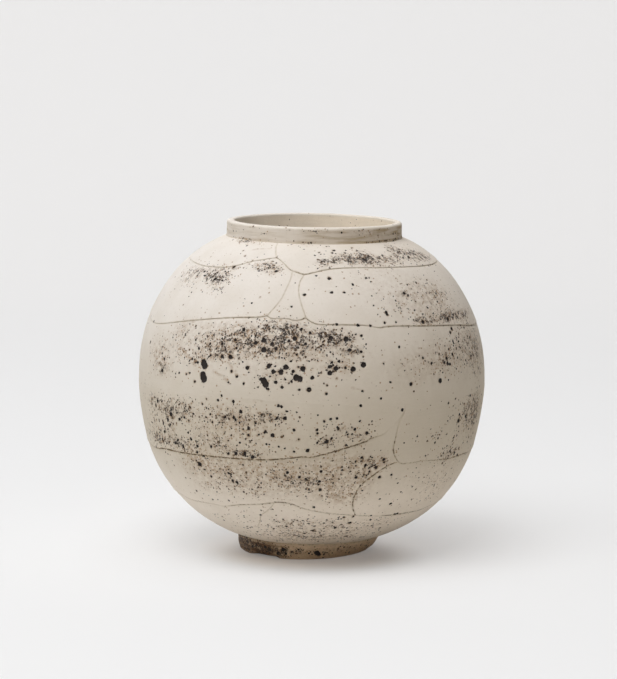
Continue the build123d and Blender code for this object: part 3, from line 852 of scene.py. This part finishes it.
# Clay, its mottle, its grain and its relief. Here and below, a noise is a size and a detail, patches add
# the limits between which they fade in, and a span is the two limits of a smooth step.
clay_roughness = 0.85
speck_roughness = 0.55
clay_gloss = 0.25
noise_middle = 0.5
base_span = (60.0, 150.0)
belly_span = (150.0, 345.0)
shaded_side_span = (-190.0, 190.0)
mottle_patches = (30.0, 4.0, 0.35, 0.75)
mottle_strength = 0.15
grain_patches = (2.6, 4.0, 0.5, 0.8)
grain_strength = 0.16
grit_noise = (0.8, 3.0)
grit_height = 0.12
streak_noise = (4.0, 3.0)
streak_stretch = (0.12, 0.12, 1.0)
streak_height = 0.25

# Stains, rust and smears
stain_patches = (3.0, 3.0, 0.30, 0.60)
stain_span = (0.3, 1.1)
stain_strength = 0.7
grey_span = (0.5, 1.1)
rust_patches = (5.0, 5.0, 0.34, 0.64)
rust_strength = 0.5
smear_least = 0.35
streak_span = (0.40, 0.66)
streak_strength = 0.4

# Seams: tan lines, and a dark line that is partly a dark joint and partly painted shade in the gap under an
# edge
wear_patches = (3.5, 2.0, 0.25, 0.65)
wear_least = 0.35
crease_strength = 0.6
dark_line_span = (0.95, 1.5)
dark_line_strength = 0.85

# Specks: how they gather, brown ones, fine black ones, and black ones of three sizes, each with its cell,
# its share where sparse and where dense, and its least and most radius as shares of the cell
gather_patches = (6.0, 3.0, 0.32, 0.60)
gather_least = 0.45
ragged_size = 1.6
ragged_push = 2.0
speck_edge = (-0.03, 0.06)
speck_depth = 0.30
small_power = 2.0
brown_gathered = 0.5
brown_rusty = 0.7
brown_sparse = 0.02
brown_cell = 2.3
brown_radii = (0.22, 0.55)
brown_strength = 0.75
fine_noise = (2.0, 3.0)
fine_limits = (0.84, 0.50)
fine_span = (0.0, 0.04)
fine_strength = 0.9
black_layers = (
    (1.9, 0.004, 0.66, 0.32, 0.56),
    (3.3, 0.005, 0.55, 0.24, 0.46),
    (6.0, 0.006, 0.26, 0.16, 0.32),
)
iron_span = (0.4, 0.85)

# Large pits
rim_noise = (2.6, 3.0)
rim_rag = 2.4
hole_span = (-0.1, 0.2)
halo_patches = (11.0, 2.0, 0.5, 0.62)
halo_span = (-1.6, 0.2)
halo_strength = 0.6


def clay_body(shader, pale, low, base):
    """Clay that is paler towards the mouth and the foot, warmer towards the right, mottled and grainy. The
    foot's paleness is partly painted bounce light, the warmth at the right is painted warm shade on the
    side away from the key light, and the inside of the mouth is brighter with painted light.
    """
    place = shader.node("SeparateXYZ", {0: shader.place}).outputs
    colour = shader.mix(shader.step(place["Z"], *belly_span), low, pale)
    # Paler towards the foot: partly the clay's own colour, partly painted bounce light from the floor
    colour = shader.mix(shader.step(place["Z"], *base_span), base, colour)
    # Painted light: the inside of the mouth below the lip is brighter and warmer
    colour = shader.mix(shader.field("hollow"), colour, painted_light_inside)
    # Painted warm shade: the right side, away from the key light, is tinted warmer
    colour = shader.mix(shader.step(place["X"], *shaded_side_span), colour, painted_warm_shade, blend="MULTIPLY")
    colour = shader.cover(colour, shader.patches(*mottle_patches), mottle_strength, clay_dull)
    return shader.cover(colour, shader.patches(*grain_patches), grain_strength, clay_dull)


def add_stains(shader, colour, gathered, rust, wiped, smear):
    """Grey and brown stains where specks gather, rust around them, and brown smears wiped along."""
    stain = shader.times(shader.step(gathered, *stain_span), shader.patches(*stain_patches))
    tint = shader.mix(shader.step(gathered, *grey_span), stain_brown, stain_grey)
    colour = shader.cover(colour, stain, stain_strength, tint)
    colour = shader.cover(colour, rust, rust_strength, rust_brown)
    streaks = shader.plus(smear_least, shader.times(shader.step(wiped, *streak_span), streak_strength))
    return shader.cover(colour, streaks, shader.field("smear"), smear)


def add_seams(shader, colour):
    """Tan lines at the seams, and a dark line where they stand most open: partly a dark joint, partly
    painted shade in the gap under an edge.
    """
    wear = shader.plus(wear_least, shader.patches(*wear_patches))
    seam = shader.times(shader.field("seam"), wear)
    colour = shader.mix(shader.times(seam, crease_strength, clamp=True), colour, seam_tan)
    # Painted shade: the dark line darkens the gap under an edge, over a dark joint
    return shader.cover(colour, shader.step(seam, *dark_line_span), dark_line_strength, seam_dark_and_painted_shade)


def add_specks(shader, colour, gathered, rust):
    """Brown specks, fine black ones that run together where they gather, and black ones of three sizes."""
    ragged = shader.crooked(ragged_size, ragged_push)
    brown = shader.plus(shader.times(gathered, brown_gathered), shader.times(rust, brown_rusty))
    mask, _ = shader.specks(ragged, brown_cell, shader.plus(brown, brown_sparse), *brown_radii)
    colour = shader.cover(colour, mask, brown_strength, rust_brown)
    limit = shader.between(gathered, *fine_limits)
    dark = shader.step(shader.math("SUBTRACT", shader.noise(*fine_noise), limit), *fine_span)
    colour = shader.cover(colour, dark, fine_strength, iron_black)
    crowds = (shader.times(gathered, gathered), gathered, gathered)
    for crowd, (cell, sparse, dense, least, most) in zip(crowds, black_layers):
        share = shader.plus(sparse, shader.times(crowd, dense))
        mask, number = shader.specks(ragged, cell, share, least, most)
        tint = shader.mix(shader.step(number, *iron_span), iron_black, iron_brown)
        colour = shader.mix(mask, colour, tint)
        dark = shader.math("MAXIMUM", dark, mask)
    return colour, dark


def add_pits(shader, colour, dark):
    """Large burnt-out pits with uneven rims, a few of them in a rusty halo."""
    rag = shader.times(shader.math("SUBTRACT", shader.noise(*rim_noise), noise_middle), rim_rag)
    rim = shader.plus(shader.field("pit"), rag)
    halo = shader.times(shader.step(rim, *halo_span), shader.patches(*halo_patches))
    colour = shader.cover(colour, halo, halo_strength, rust_brown)
    hole = shader.step(rim, *hole_span)
    return shader.mix(hole, colour, iron_black), shader.math("MAXIMUM", dark, hole)


def speckled_stoneware(
    name, pale=clay_pale, low=clay_low, base=clay_base_with_painted_bounce, speck_share=1.0, smear=smear_brown
):
    """Bare off-white stoneware with burnt-out iron specks that gather where the mesh says."""
    shader = Shader(name)
    density = shader.times(shader.field("specks"), speck_share)
    gathered = shader.times(density, shader.plus(gather_least, shader.patches(*gather_patches)))
    rust = shader.times(shader.field("rust"), shader.patches(*rust_patches))
    along = shader.vector("MULTIPLY", {0: shader.place, 1: streak_stretch})
    wiped = shader.noise(*streak_noise, along)

    colour = clay_body(shader, pale, low, base)
    colour = add_stains(shader, colour, gathered, rust, wiped, smear)
    colour = add_seams(shader, colour)
    colour, dark = add_specks(shader, colour, gathered, rust)
    colour, dark = add_pits(shader, colour, dark)

    relief = shader.times(shader.noise(*grit_noise), grit_height)
    relief = shader.plus(relief, shader.times(wiped, streak_height))
    relief = shader.math("SUBTRACT", relief, shader.times(dark, speck_depth))
    shader.finish(colour, relief, dark)
    return shader.material


# Paper and room: their colours, a painted brown shadow on the paper round the foot, and how much of the
# paper's own glow is seen at distances from the foot
room_light, room_seen = 0.05, (0.82, 0.815, 0.81)
paper_white, paper_painted_shadow, paper_seen = (0.88, 0.89, 0.905), (0.80, 0.71, 0.61), (0.885, 0.87, 0.86)
paper_roughness = 0.9
painted_shadow_middle, painted_shadow_span = (8.0, 0.0, 0.0), (84.0, 150.0)
contact_middle, contact_span, paper_span = (4.0, -62.0, 0.0), (66.0, 145.0), (700.0, 5000.0)
glow_at_foot, glow_near, glow_far = 0.2, 0.5, 0.9


def studio_paper(name):
    """Pale paper that keeps shadows and looks evenly lit where it is seen, with a painted brown shadow
    round the foot, where it also glows less so that the cast shadow shows darker.
    """
    shader = Shader(name)
    surface = shader.surface.inputs
    # Painted shadow: the paper's colour turns brown close to the foot
    paper = shader.mix(shader.step(shader.distance(painted_shadow_middle), *painted_shadow_span), paper_painted_shadow, paper_white)
    shader.join(paper, surface["Base Color"])
    surface["Roughness"].default_value = paper_roughness
    surface["Specular IOR Level"].default_value = 0.0
    away = shader.distance(contact_middle)
    most = shader.between(shader.step(away, *paper_span), glow_near, glow_far)
    share = shader.between(shader.step(away, *contact_span), glow_at_foot, most)
    glow = shader.node("Emission", {"Color": paper_seen})
    shader.show(shader.times(shader.seen(), share), shader.surface, glow, "Material Output")
    return shader.material


# Specks of the whole jar: the back has the front's, turned half way round and shifted, and large pits of
# its own. Sizes are the shape and scale of a gamma draw.
rng = np.random.default_rng(7)
back_turn, back_width, back_height, back_sway = 189, 0.92, 0.94, 1.5
scatter_spread, scatter_least, scatter_sizes = 0.6, 0.6, (3.0, 0.22)
back_pits, back_span, back_bands = 64, (85, 278), (8.0, 5.0, 33.0, -9.0, -16.0, -29.0)
band_spread, back_least, back_sizes = 3.0, 0.7, (5.0, 0.34)


def round_the_back(places, sway=0.0):
    """Places at the front, moved to the back."""
    return [
        (back_turn + back_width * azimuth, back_height * elevation + sway * math.sin(azimuth), *rest)
        for azimuth, elevation, *rest in places
    ]


def scatter_specks(places):
    """Mid-size specks as small pits, scattered round the given places."""
    return [
        (
            rng.normal(azimuth, scatter_spread * half_width),
            rng.normal(elevation, scatter_spread * half_height),
            scatter_least + rng.gamma(*scatter_sizes),
        )
        for azimuth, elevation, half_width, half_height, count in places
        for _ in range(count)
    ]


def scatter_back_pits():
    """Large pits round the back, in bands over and under the belly."""
    pits = []
    for _ in range(back_pits):
        azimuth = rng.uniform(*back_span)
        elevation = rng.choice(back_bands) + rng.normal(0, band_spread)
        pits.append((azimuth, elevation, rng.gamma(*back_sizes) + back_least))
    return pits


all_clusters = front_clusters + round_the_back(front_clusters, back_sway)
all_pits = front_pits + scatter_specks(front_scatter + round_the_back(front_scatter)) + scatter_back_pits()

# Slabs, course by course
stoneware = speckled_stoneware("speckled_stoneware")
collar_lap, foot_lap = 1.5, 0.4
slab_top = mouth_radius + collar_lap
mouth_edge = math.degrees(
    math.atan2(second_arc_height(slab_top, shoulder_outward, shoulder_rise, shoulder_arc), slab_top)
)
shoulder_level = level_seam(shoulder_seam, upper_end)
upper_level = level_seam(upper_seam, upper_end)
lower_belly_level = tongue_seam()
base_level = level_seam(base_seam, lower_end)
collar_level = level_line(mouth_edge, 0.0)
coil_upper_level = level_seam(coil_upper_edge, upper_end)
coil_lower_level = level_seam(coil_lower_edge, lower_end)
foot_level = level_line(lower_end - foot_lap, 0.0)


def make_course(names, lower, upper, ends, bowl_end):
    """A ring of slabs, each from one upright seam to the next."""
    runs = [upright(points, bowl_end, lower, upper) for points in ends]
    for name, left, right in zip(names, runs, runs[1:] + runs[:1]):
        make_slab(name, lower, upper, left, right)


def make_tongue_course(names, lower, upper, first, last, ends, bite=None):
    """A ring of slabs whose first slab starts, and whose last one ends, along the tongue."""
    runs = [upright(points, lower_end, lower, upper) for points in ends]
    bites = [None] * len(runs) + [bite]
    for name, left, right, bitten in zip(names, [first, *runs], [*runs, last], bites):
        make_slab(name, lower, upper, left, right, bitten)


def make_slabs():
    """All courses of slabs, from the collar down to the foot."""
    make_course(
        ["shoulder_slab_right", "shoulder_slab_back", "shoulder_slab_left"],
        shoulder_level, collar_level, shoulder_ends, upper_end,
    )
    make_course(
        ["upper_gusset", "upper_slab_right", "upper_slab_back", "upper_slab_left"],
        upper_level, shoulder_level, upper_ends, upper_end,
    )
    make_course(
        ["upper_belly_slab_back_right", "upper_belly_slab_back_left", "upper_belly_slab_front"],
        coil_upper_level, upper_level, upper_belly_ends, upper_end,
    )
    make_tongue_course(
        ["lower_belly_slab_right", "lower_belly_slab_back", "lower_belly_slab_left"],
        lower_belly_level, coil_lower_level,
        upright([*belly_to_tip, *tongue_side[1:]], lower_end, upper=coil_lower_level),
        upright(belly_to_tip, lower_end, upper=coil_lower_level),
        lower_belly_ends,
    )
    below_root = upright(root_to_base, lower_end, lower=base_level)
    make_tongue_course(
        ["lower_slab_right", "lower_slab_back", "lower_slab_left"],
        base_level, lower_belly_level, below_root, upright(tongue_side, lower_end), lower_ends, below_root,
    )
    make_course(
        ["base_slab_right", "base_slab_back", "base_slab_left"],
        foot_level, base_level, base_ends, lower_end,
    )


make_slabs()

# Belly coil
coil_depth, coil_specks = 6.0, 0.25
coil_steps, coil_lines = 840, 14


def make_coil(material):
    """The coil in the belly joint: its wiped face is flush with the slabs, its root lies in the groove."""
    turn = np.linspace(-180, 180, coil_steps, endpoint=False)
    low, high = coil_lower_level(turn)[:, 1], coil_upper_level(turn)[:, 1]
    up = np.linspace(0, 1, coil_lines)
    elevation = low[:, None] + (high - low)[:, None] * up
    azimuth = turn[:, None] + 0 * elevation
    face, outward = on_jar(azimuth, elevation)
    face = face + outward * (ripples(face, wall_ripples) + belly_ridge(azimuth, elevation))[..., None]
    root = to_frame(belly_radius - coil_depth, belly_height, turn)[:, None]
    points = np.concatenate((face, root), axis=1)
    specks, _ = cluster_fields(azimuth, elevation, all_clusters)
    wiped = coil_specks * np.concatenate((specks, 0 * specks[:, :1]), axis=1).ravel()
    fields = {"specks": wiped, "rust": wiped, "seam": 0 * wiped, "pit": pit_field(points, all_pits).ravel()}
    faces = ring_faces(*points.shape[:2])
    new_object("belly_coil", points.reshape(-1, 3), faces, material, fields)


make_coil(speckled_stoneware("smoothed_clay", speck_share=0.6))

# Collar: its section's corners outside and inside, from its radii and its seat, and its unevenness
seat_height = belly_height + collar_seat
rim_height = seat_height + collar_height
lip_outer_round, lip_inner_round, lip_inset = 3.4, 2.4, 1.0
collar_outside = ((1.4, -1.5), (0.2, 1.6))
collar_inside = ((-1.6, -1.5), (1.5, -1.5))
collar_grid, collar_steps = 1.2, 520
collar_lift = ((0.45, 60.0, 1.7), (0.15, 15.0, 4.4))
collar_bulge = ((0.35, 40.0, 9.1), (0.15, 9.0, 6.6))

# Specks on the collar: azimuth, height over its seat, half width, half height, specks, rust
collar_clusters = [
    (1.5, 14.2, 7.5, 1.4, 1.0, 0.5), (-4, 1.0, 6, 1.3, 1.0, 0.4), (-43, 14.5, 2.5, 1.2, 0.8, 0.3),
    (-67, 8, 4, 1.5, 0.7, 0.2), (-34, 8, 3, 2, 0.4, 0.5), (-16, 14.5, 2, 1.0, 0.8, 0.2),
    (45, 9, 13, 4.5, 0.25, 0.5), (58, 1, 26, 1.7, 1.0, 0.6), (30, 12, 14, 3, 0.12, 0.3),
    (-50, 1, 16, 1.3, 0.75, 0.3), (18, 13, 1.5, 1, 0.7, 0.2), (75, 9, 10, 5, 0.3, 0.5),
    (120, 2, 25, 2, 0.8, 0.3), (150, 11, 12, 3, 0.5, 0.5), (190, 1, 22, 1.5, 0.9, 0.3),
    (215, 12, 7, 2, 0.8, 0.3), (250, 6, 16, 4, 0.3, 0.5),
]

# A crease in the collar's front, as azimuths and heights over its seat
crease_azimuths = (5, 12, 20, 29, 35)
crease_heights = (7.5, 6.5, 4.5, 3.5, 3.4)
crease_width = 0.7

# Where the collar's looks change, as radii and heights, and how they vary
wall_span, painted_light_span = (mouth_radius + 4, collar_radius - 2), (mouth_radius + 1, mouth_radius + 3)
face_span, lip_span = (collar_radius - 2.2, collar_radius - 0.6), (rim_height - 4, rim_height)
lift_span, seat_span = (seat_height, rim_height - 2), (seat_height - 0.5, seat_height + 1.5)
seat_line, smear_middle, smear_swing = 0.8, 0.8, 0.35


def collar_section():
    """Section of the collar, up its outside, over the lip and down its inside."""
    outer_middle = (collar_radius - lip_outer_round, rim_height - lip_outer_round)
    inner_middle = (mouth_radius + lip_inset + lip_inner_round, rim_height - lip_inner_round)
    corners = [(collar_radius + out, seat_height + up) for out, up in collar_outside]
    corners += arc_points(outer_middle, lip_outer_round, 0, 90, 7)
    corners += arc_points(inner_middle, lip_inner_round, 90, 170, 6)
    corners += [(mouth_radius + out, seat_height + up) for out, up in collar_inside]
    return section_points(corners, collar_grid)


def collar_shape(radius, height, azimuth):
    """A lip that rises and dips a little, on a wall with a potter's unevenness."""
    points = to_frame(radius, height, azimuth)
    lift = fade(height, *lift_span) * ripples(points, collar_lift)
    return radius + ripples(points, collar_bulge), height + lift


def collar_fields(radius, height, azimuth):
    """Specks and smears on the collar's outside, a crease, a stained line along its seat, and where light
    is painted inside the mouth.
    """
    outside = fade(radius, *wall_span)
    below_lip = 1 - fade(height, *lip_span)
    specks, rust = cluster_fields(azimuth, height - seat_height, collar_clusters)
    stained = seat_line * (1 - fade(height, *seat_span))
    aside = signed(azimuth)
    crease_height = seat_height + np.interp(aside, crease_azimuths, crease_heights)
    crease = np.exp(-(((height - crease_height) / crease_width) ** 2))
    crease *= fade(aside, *crease_azimuths[:2]) * (1 - fade(aside, *crease_azimuths[-2:]))
    smeared = smear_middle + smear_swing * np.sin(np.radians(azimuth))
    return {
        "specks": specks * outside,
        "rust": rust * outside,
        "seam": np.maximum(stained, crease) * outside,
        "pit": np.full_like(radius, no_pit),
        # Where light is painted inside the mouth, below the lip
        "hollow": (1 - fade(radius, *painted_light_span)) * below_lip,
        "smear": smeared * fade(radius, *face_span) * below_lip,
    }


make_ring(
    "rim_collar", collar_section(), collar_steps,
    collar_shape, speckled_stoneware("collar_clay", pale=clay_lip), collar_fields,
)

# Foot ring: its edge, its section's corners from the top's and the inside's radii, and its unevenness
foot_edge, foot_spread = 2.6, 0.4
foot_top = ((0.2, -1.5), (0.8, 1.5), (-foot_ring_width, 0.5))
foot_inside = ((0.0, 2.0), (1.5, 0.0))
foot_grid, foot_steps = 1.3, 430
foot_ripples = ((0.9, 30.0, 8.2), (0.4, 9.0, 2.9), (0.15, 4.0, 5.0))

# How it is pressed: tucked in below at its right, bulging at its left, and chipped between two azimuths
outer_span = (foot_bottom_radius - 8, foot_bottom_radius - 2)
press_side = 80
tuck_slope, tuck_hollow, hollow_height = 2.2, 5.0, 11
left_bulge, bulge_height = 3.2, 4
chip_depth, chip_height, chip_start, chip_end = 2.4, 9, (-62, -44), (-30, -24)

# Its dark line under the wall, partly a dark joint and partly painted shade under the body, and how
# scorched it is towards its left
joint_line_and_shade, line_span = 0.9, (foot_height - 3, foot_height)
scorch_least, scorch_left, scorch_span = 0.1, 1.3, (8, 40)

# Specks on the foot: azimuth, height, half width, half height, specks, rust
foot_clusters = [
    (-62, 11, 16, 9, 1.0, 0.7), (-40, 9, 12, 9, 0.95, 0.7), (-22, 9, 12, 7, 0.8, 1.0),
    (-8, 11, 6, 4, 0.5, 0.8), (12, 8, 3, 2, 0.6, 0.5), (35, 12, 16, 5, 0.42, 0.8),
    (-75, 12, 12, 8, 1.0, 0.8), (60, 8, 14, 6, 0.32, 0.6), (-45, 2, 30, 2, 0.6, 0.7),
    (10, 10, 16, 7, 0.32, 0.8), (110, 8, 18, 6, 0.4, 0.5), (150, 12, 16, 5, 0.8, 0.6),
    (185, 6, 14, 6, 0.5, 0.8), (225, 10, 20, 7, 0.9, 0.6), (260, 9, 14, 6, 0.7, 0.5),
]

# Pits in the foot: azimuth, height, radius
foot_pits = [
    (6.5, 8.6, 3.0), (8.5, 6.6, 2.2), (13, 6.5, 1.2), (-21, 11.5, 2.4), (-38, 11.5, 2.2), (-26, 6.0, 1.8),
    (-19, 6.5, 1.6), (-52, 9.0, 1.8), (-60, 13.0, 1.7),
]


def foot_section():
    """Section of the foot ring, from its outer lower edge up, across under the floor and down inside."""
    middle = (foot_bottom_radius - foot_edge + foot_spread, foot_edge)
    corners = arc_points(middle, foot_edge, -90, -10, 6)
    corners += [(foot_top_radius + out, foot_height + up) for out, up in foot_top]
    corners += [(foot_bottom_radius - foot_ring_width + out, up) for out, up in foot_inside]
    return section_points(corners, foot_grid)


def toward(azimuth, middle):
    """1 at an azimuth, fading to 0 a quarter turn from it."""
    return fade(np.cos(np.radians(azimuth - middle)), 0, 1)


def foot_shape(radius, height, azimuth):
    """A foot pressed on by hand: uneven, tucked in below at the right, bulging and chipped at the left."""
    points = to_frame(radius, height, azimuth)
    outside = fade(radius, *outer_span)
    hollow = tuck_hollow * (1 - fade(height, 0, hollow_height)) ** 2
    tucked = toward(azimuth, press_side) * (tuck_slope * (1 - fade(height, 0, foot_height)) + hollow)
    bulge = left_bulge * toward(azimuth, -press_side) * (1 - fade(height, bulge_height, foot_height))
    radius = radius + outside * (ripples(points, foot_ripples) - tucked + bulge)
    aside = signed(azimuth)
    chip = fade(aside, *chip_start) * (1 - fade(aside, *chip_end)) * (1 - fade(height, 0, chip_height))
    level = radius * np.sin(np.radians(azimuth)) * math.tan(lean)
    return radius, level + (height + chip_depth * outside * chip) * (foot_height - level) / foot_height


def foot_fields(radius, height, azimuth):
    """Specks and scorched patches, most at the front left, and a dark line under the wall that is partly a
    dark joint and partly painted shade under the body.
    """
    specks, rust = cluster_fields(azimuth, height, foot_clusters)
    pit = np.full_like(radius, no_pit)
    for middle, up, size in foot_pits:
        aside = signed(azimuth - middle) * math.radians(foot_bottom_radius)
        pit = np.maximum(pit, size - np.hypot(aside, height - up))
    # Dark line at the top of the foot: a dark joint with painted shade under the body
    seam = joint_line_and_shade * fade(height, *line_span)
    smear = scorch_least + scorch_left * fade(-signed(azimuth), *scorch_span)
    return {"specks": specks, "rust": rust, "seam": seam, "pit": pit, "smear": smear}


scorched = speckled_stoneware("scorched_foot_clay", base=foot_tan, speck_share=1.1, smear=scorch_brown)
make_ring(
    "foot_ring", foot_section(), foot_steps, foot_shape, scorched, foot_fields
)

# Floor disc
floor_hub, floor_around, floor_rings = 4, 160, 24
floor_ripples = ((0.25, 22.0, 3.3),)
floor_specks, floor_rust = 0.1, 0.15


def make_floor_disc(material):
    """The floor of the jar: a disc with a bevelled edge, a little uneven."""
    slope = (foot_top_radius - base_outward) / base_arc
    top = foot_height + wall * math.sqrt(1 - slope**2)
    azimuth = np.linspace(0, 360, floor_around, endpoint=False)
    upper_radii = np.linspace(floor_hub, foot_top_radius - wall * slope, floor_rings)
    radii = np.concatenate((upper_radii, np.linspace(foot_top_radius, floor_hub, floor_rings)))
    heights = np.repeat((top, foot_height), floor_rings)
    grid = to_frame(radii[:, None], heights[:, None] + 0 * azimuth, azimuth[None] + 0 * radii[:, None])
    grid[..., 2] += ripples(grid, floor_ripples)
    here = np.arange(grid[..., 0].size).reshape(grid.shape[:2])
    ahead = np.roll(here, -1, axis=1)
    quads = np.stack((here[:-1], here[1:], ahead[1:], ahead[:-1]), axis=-1).reshape(-1, 4).tolist()
    caps = [here[0].tolist(), here[-1][::-1].tolist()]
    looks = {"specks": floor_specks, "rust": floor_rust, "seam": 0.0, "pit": no_pit}
    fields = {key: np.full(here.size, value) for key, value in looks.items()}
    new_object("base_disc", grid.reshape(-1, 3), quads + caps, material, fields)


make_floor_disc(speckled_stoneware("bare_clay", base=clay_inside, speck_share=0.8))

# Stage, in metres: its floor's half width and reach, the round of its sweep and its height
stage_half_width, stage_front, stage_back = 7.0, -7.0, 3.0
sweep_round, sweep_steps, stage_height = 0.6, 25, 4.0

# Lamps: azimuth, elevation, size in metres, power, tint
light_target = (0.0, 0.0, 0.2)
light_distance = 4.5
plain_tint, warm_tint, cool_tint = (1.0, 1.0, 1.0), (1.0, 0.90, 0.78), (0.96, 0.99, 1.0)
softboxes = {
    "key_softbox": (-32, 60, 3.4, 125.0, plain_tint),
    "top_softbox": (0, 88, 3.4, 79.0, plain_tint),
    "left_softbox": (-85, 27, 3.4, 38.0, cool_tint),
    "front_fill": (-4, 8, 1.4, 9.0, warm_tint),
}

# Camera: the photograph's height and focal length in pixels, the sensor's width in millimetres, the place
# in metres, and how far it looks down
image_height, focal_pixels, sensor_width = 679, 2803.7, 36.0
camera_place, camera_dip = (-0.0002, -3.2213, 0.6571), 7.31


def make_stage():
    """A pale floor that sweeps up into a backdrop."""
    start = stage_back - sweep_round
    run = [(stage_front, 0.0), (start, 0.0)]
    run += [
        (start + sweep_round * math.sin(a), sweep_round - sweep_round * math.cos(a))
        for a in np.linspace(0, math.pi / 2, sweep_steps)[1:]
    ]
    run.append((stage_back, stage_height))
    vertices = [(side, y, z) for y, z in run for side in (-stage_half_width, stage_half_width)]
    faces = [(2 * i, 2 * i + 1, 2 * i + 3, 2 * i + 2) for i in range(len(run) - 1)]
    mesh = bpy.data.meshes.new("studio_sweep")
    mesh.from_pydata(vertices, [], faces)
    mesh.polygons.foreach_set("use_smooth", [True] * len(faces))
    mesh.materials.append(studio_paper("studio_paper"))
    sweep_object = bpy.data.objects.new("studio_sweep", mesh)
    bpy.context.scene.collection.objects.link(sweep_object)


def area_light(name, azimuth, elevation, size, power, tint):
    """A square softbox in a direction from the jar, which it faces."""
    light = bpy.data.lights.new(name, "AREA")
    light.shape = "SQUARE"
    light.size = size
    light.energy = power
    light.color = tint
    lamp = bpy.data.objects.new(name, light)
    turn, climb = math.radians(azimuth), math.radians(elevation)
    flat = math.cos(climb)
    outward = Vector((flat * math.sin(turn), -flat * math.cos(turn), math.sin(climb)))
    lamp.location = Vector(light_target) + light_distance * outward
    lamp.rotation_euler = (-outward).to_track_quat("-Z", "Y").to_euler()
    bpy.context.scene.collection.objects.link(lamp)


def make_room():
    """A room that gives little light, and looks as pale as the paper where it is seen."""
    world = bpy.data.worlds.new("studio_room")
    world.use_nodes = True
    nodes = Nodes(world.node_tree)
    dim = nodes.tree.nodes["Background"]
    nodes.join(warm_tint, dim.inputs["Color"])
    nodes.join(room_light, dim.inputs["Strength"])
    pale = nodes.node("Background", {"Color": room_seen})
    nodes.show(nodes.seen(), dim, pale, "World Output")
    bpy.context.scene.world = world


def make_light():
    """A broad softbox at the front left, one overhead, weak low ones at the left and front, a dim room."""
    for name, values in softboxes.items():
        area_light(name, *values)
    make_room()


def make_camera():
    """Camera at the photograph's viewing angle, which looks a little down on the jar."""
    camera = bpy.data.cameras.new("camera")
    camera.sensor_width = sensor_width
    camera.lens = focal_pixels * sensor_width / image_height
    eye = bpy.data.objects.new("camera", camera)
    eye.location = camera_place
    eye.rotation_euler = (math.radians(90 - camera_dip), 0.0, 0.0)
    bpy.context.scene.collection.objects.link(eye)
    bpy.context.scene.camera = eye


make_stage()
make_light()
make_camera()
bpy.context.scene.view_settings.view_transform = "Standard"
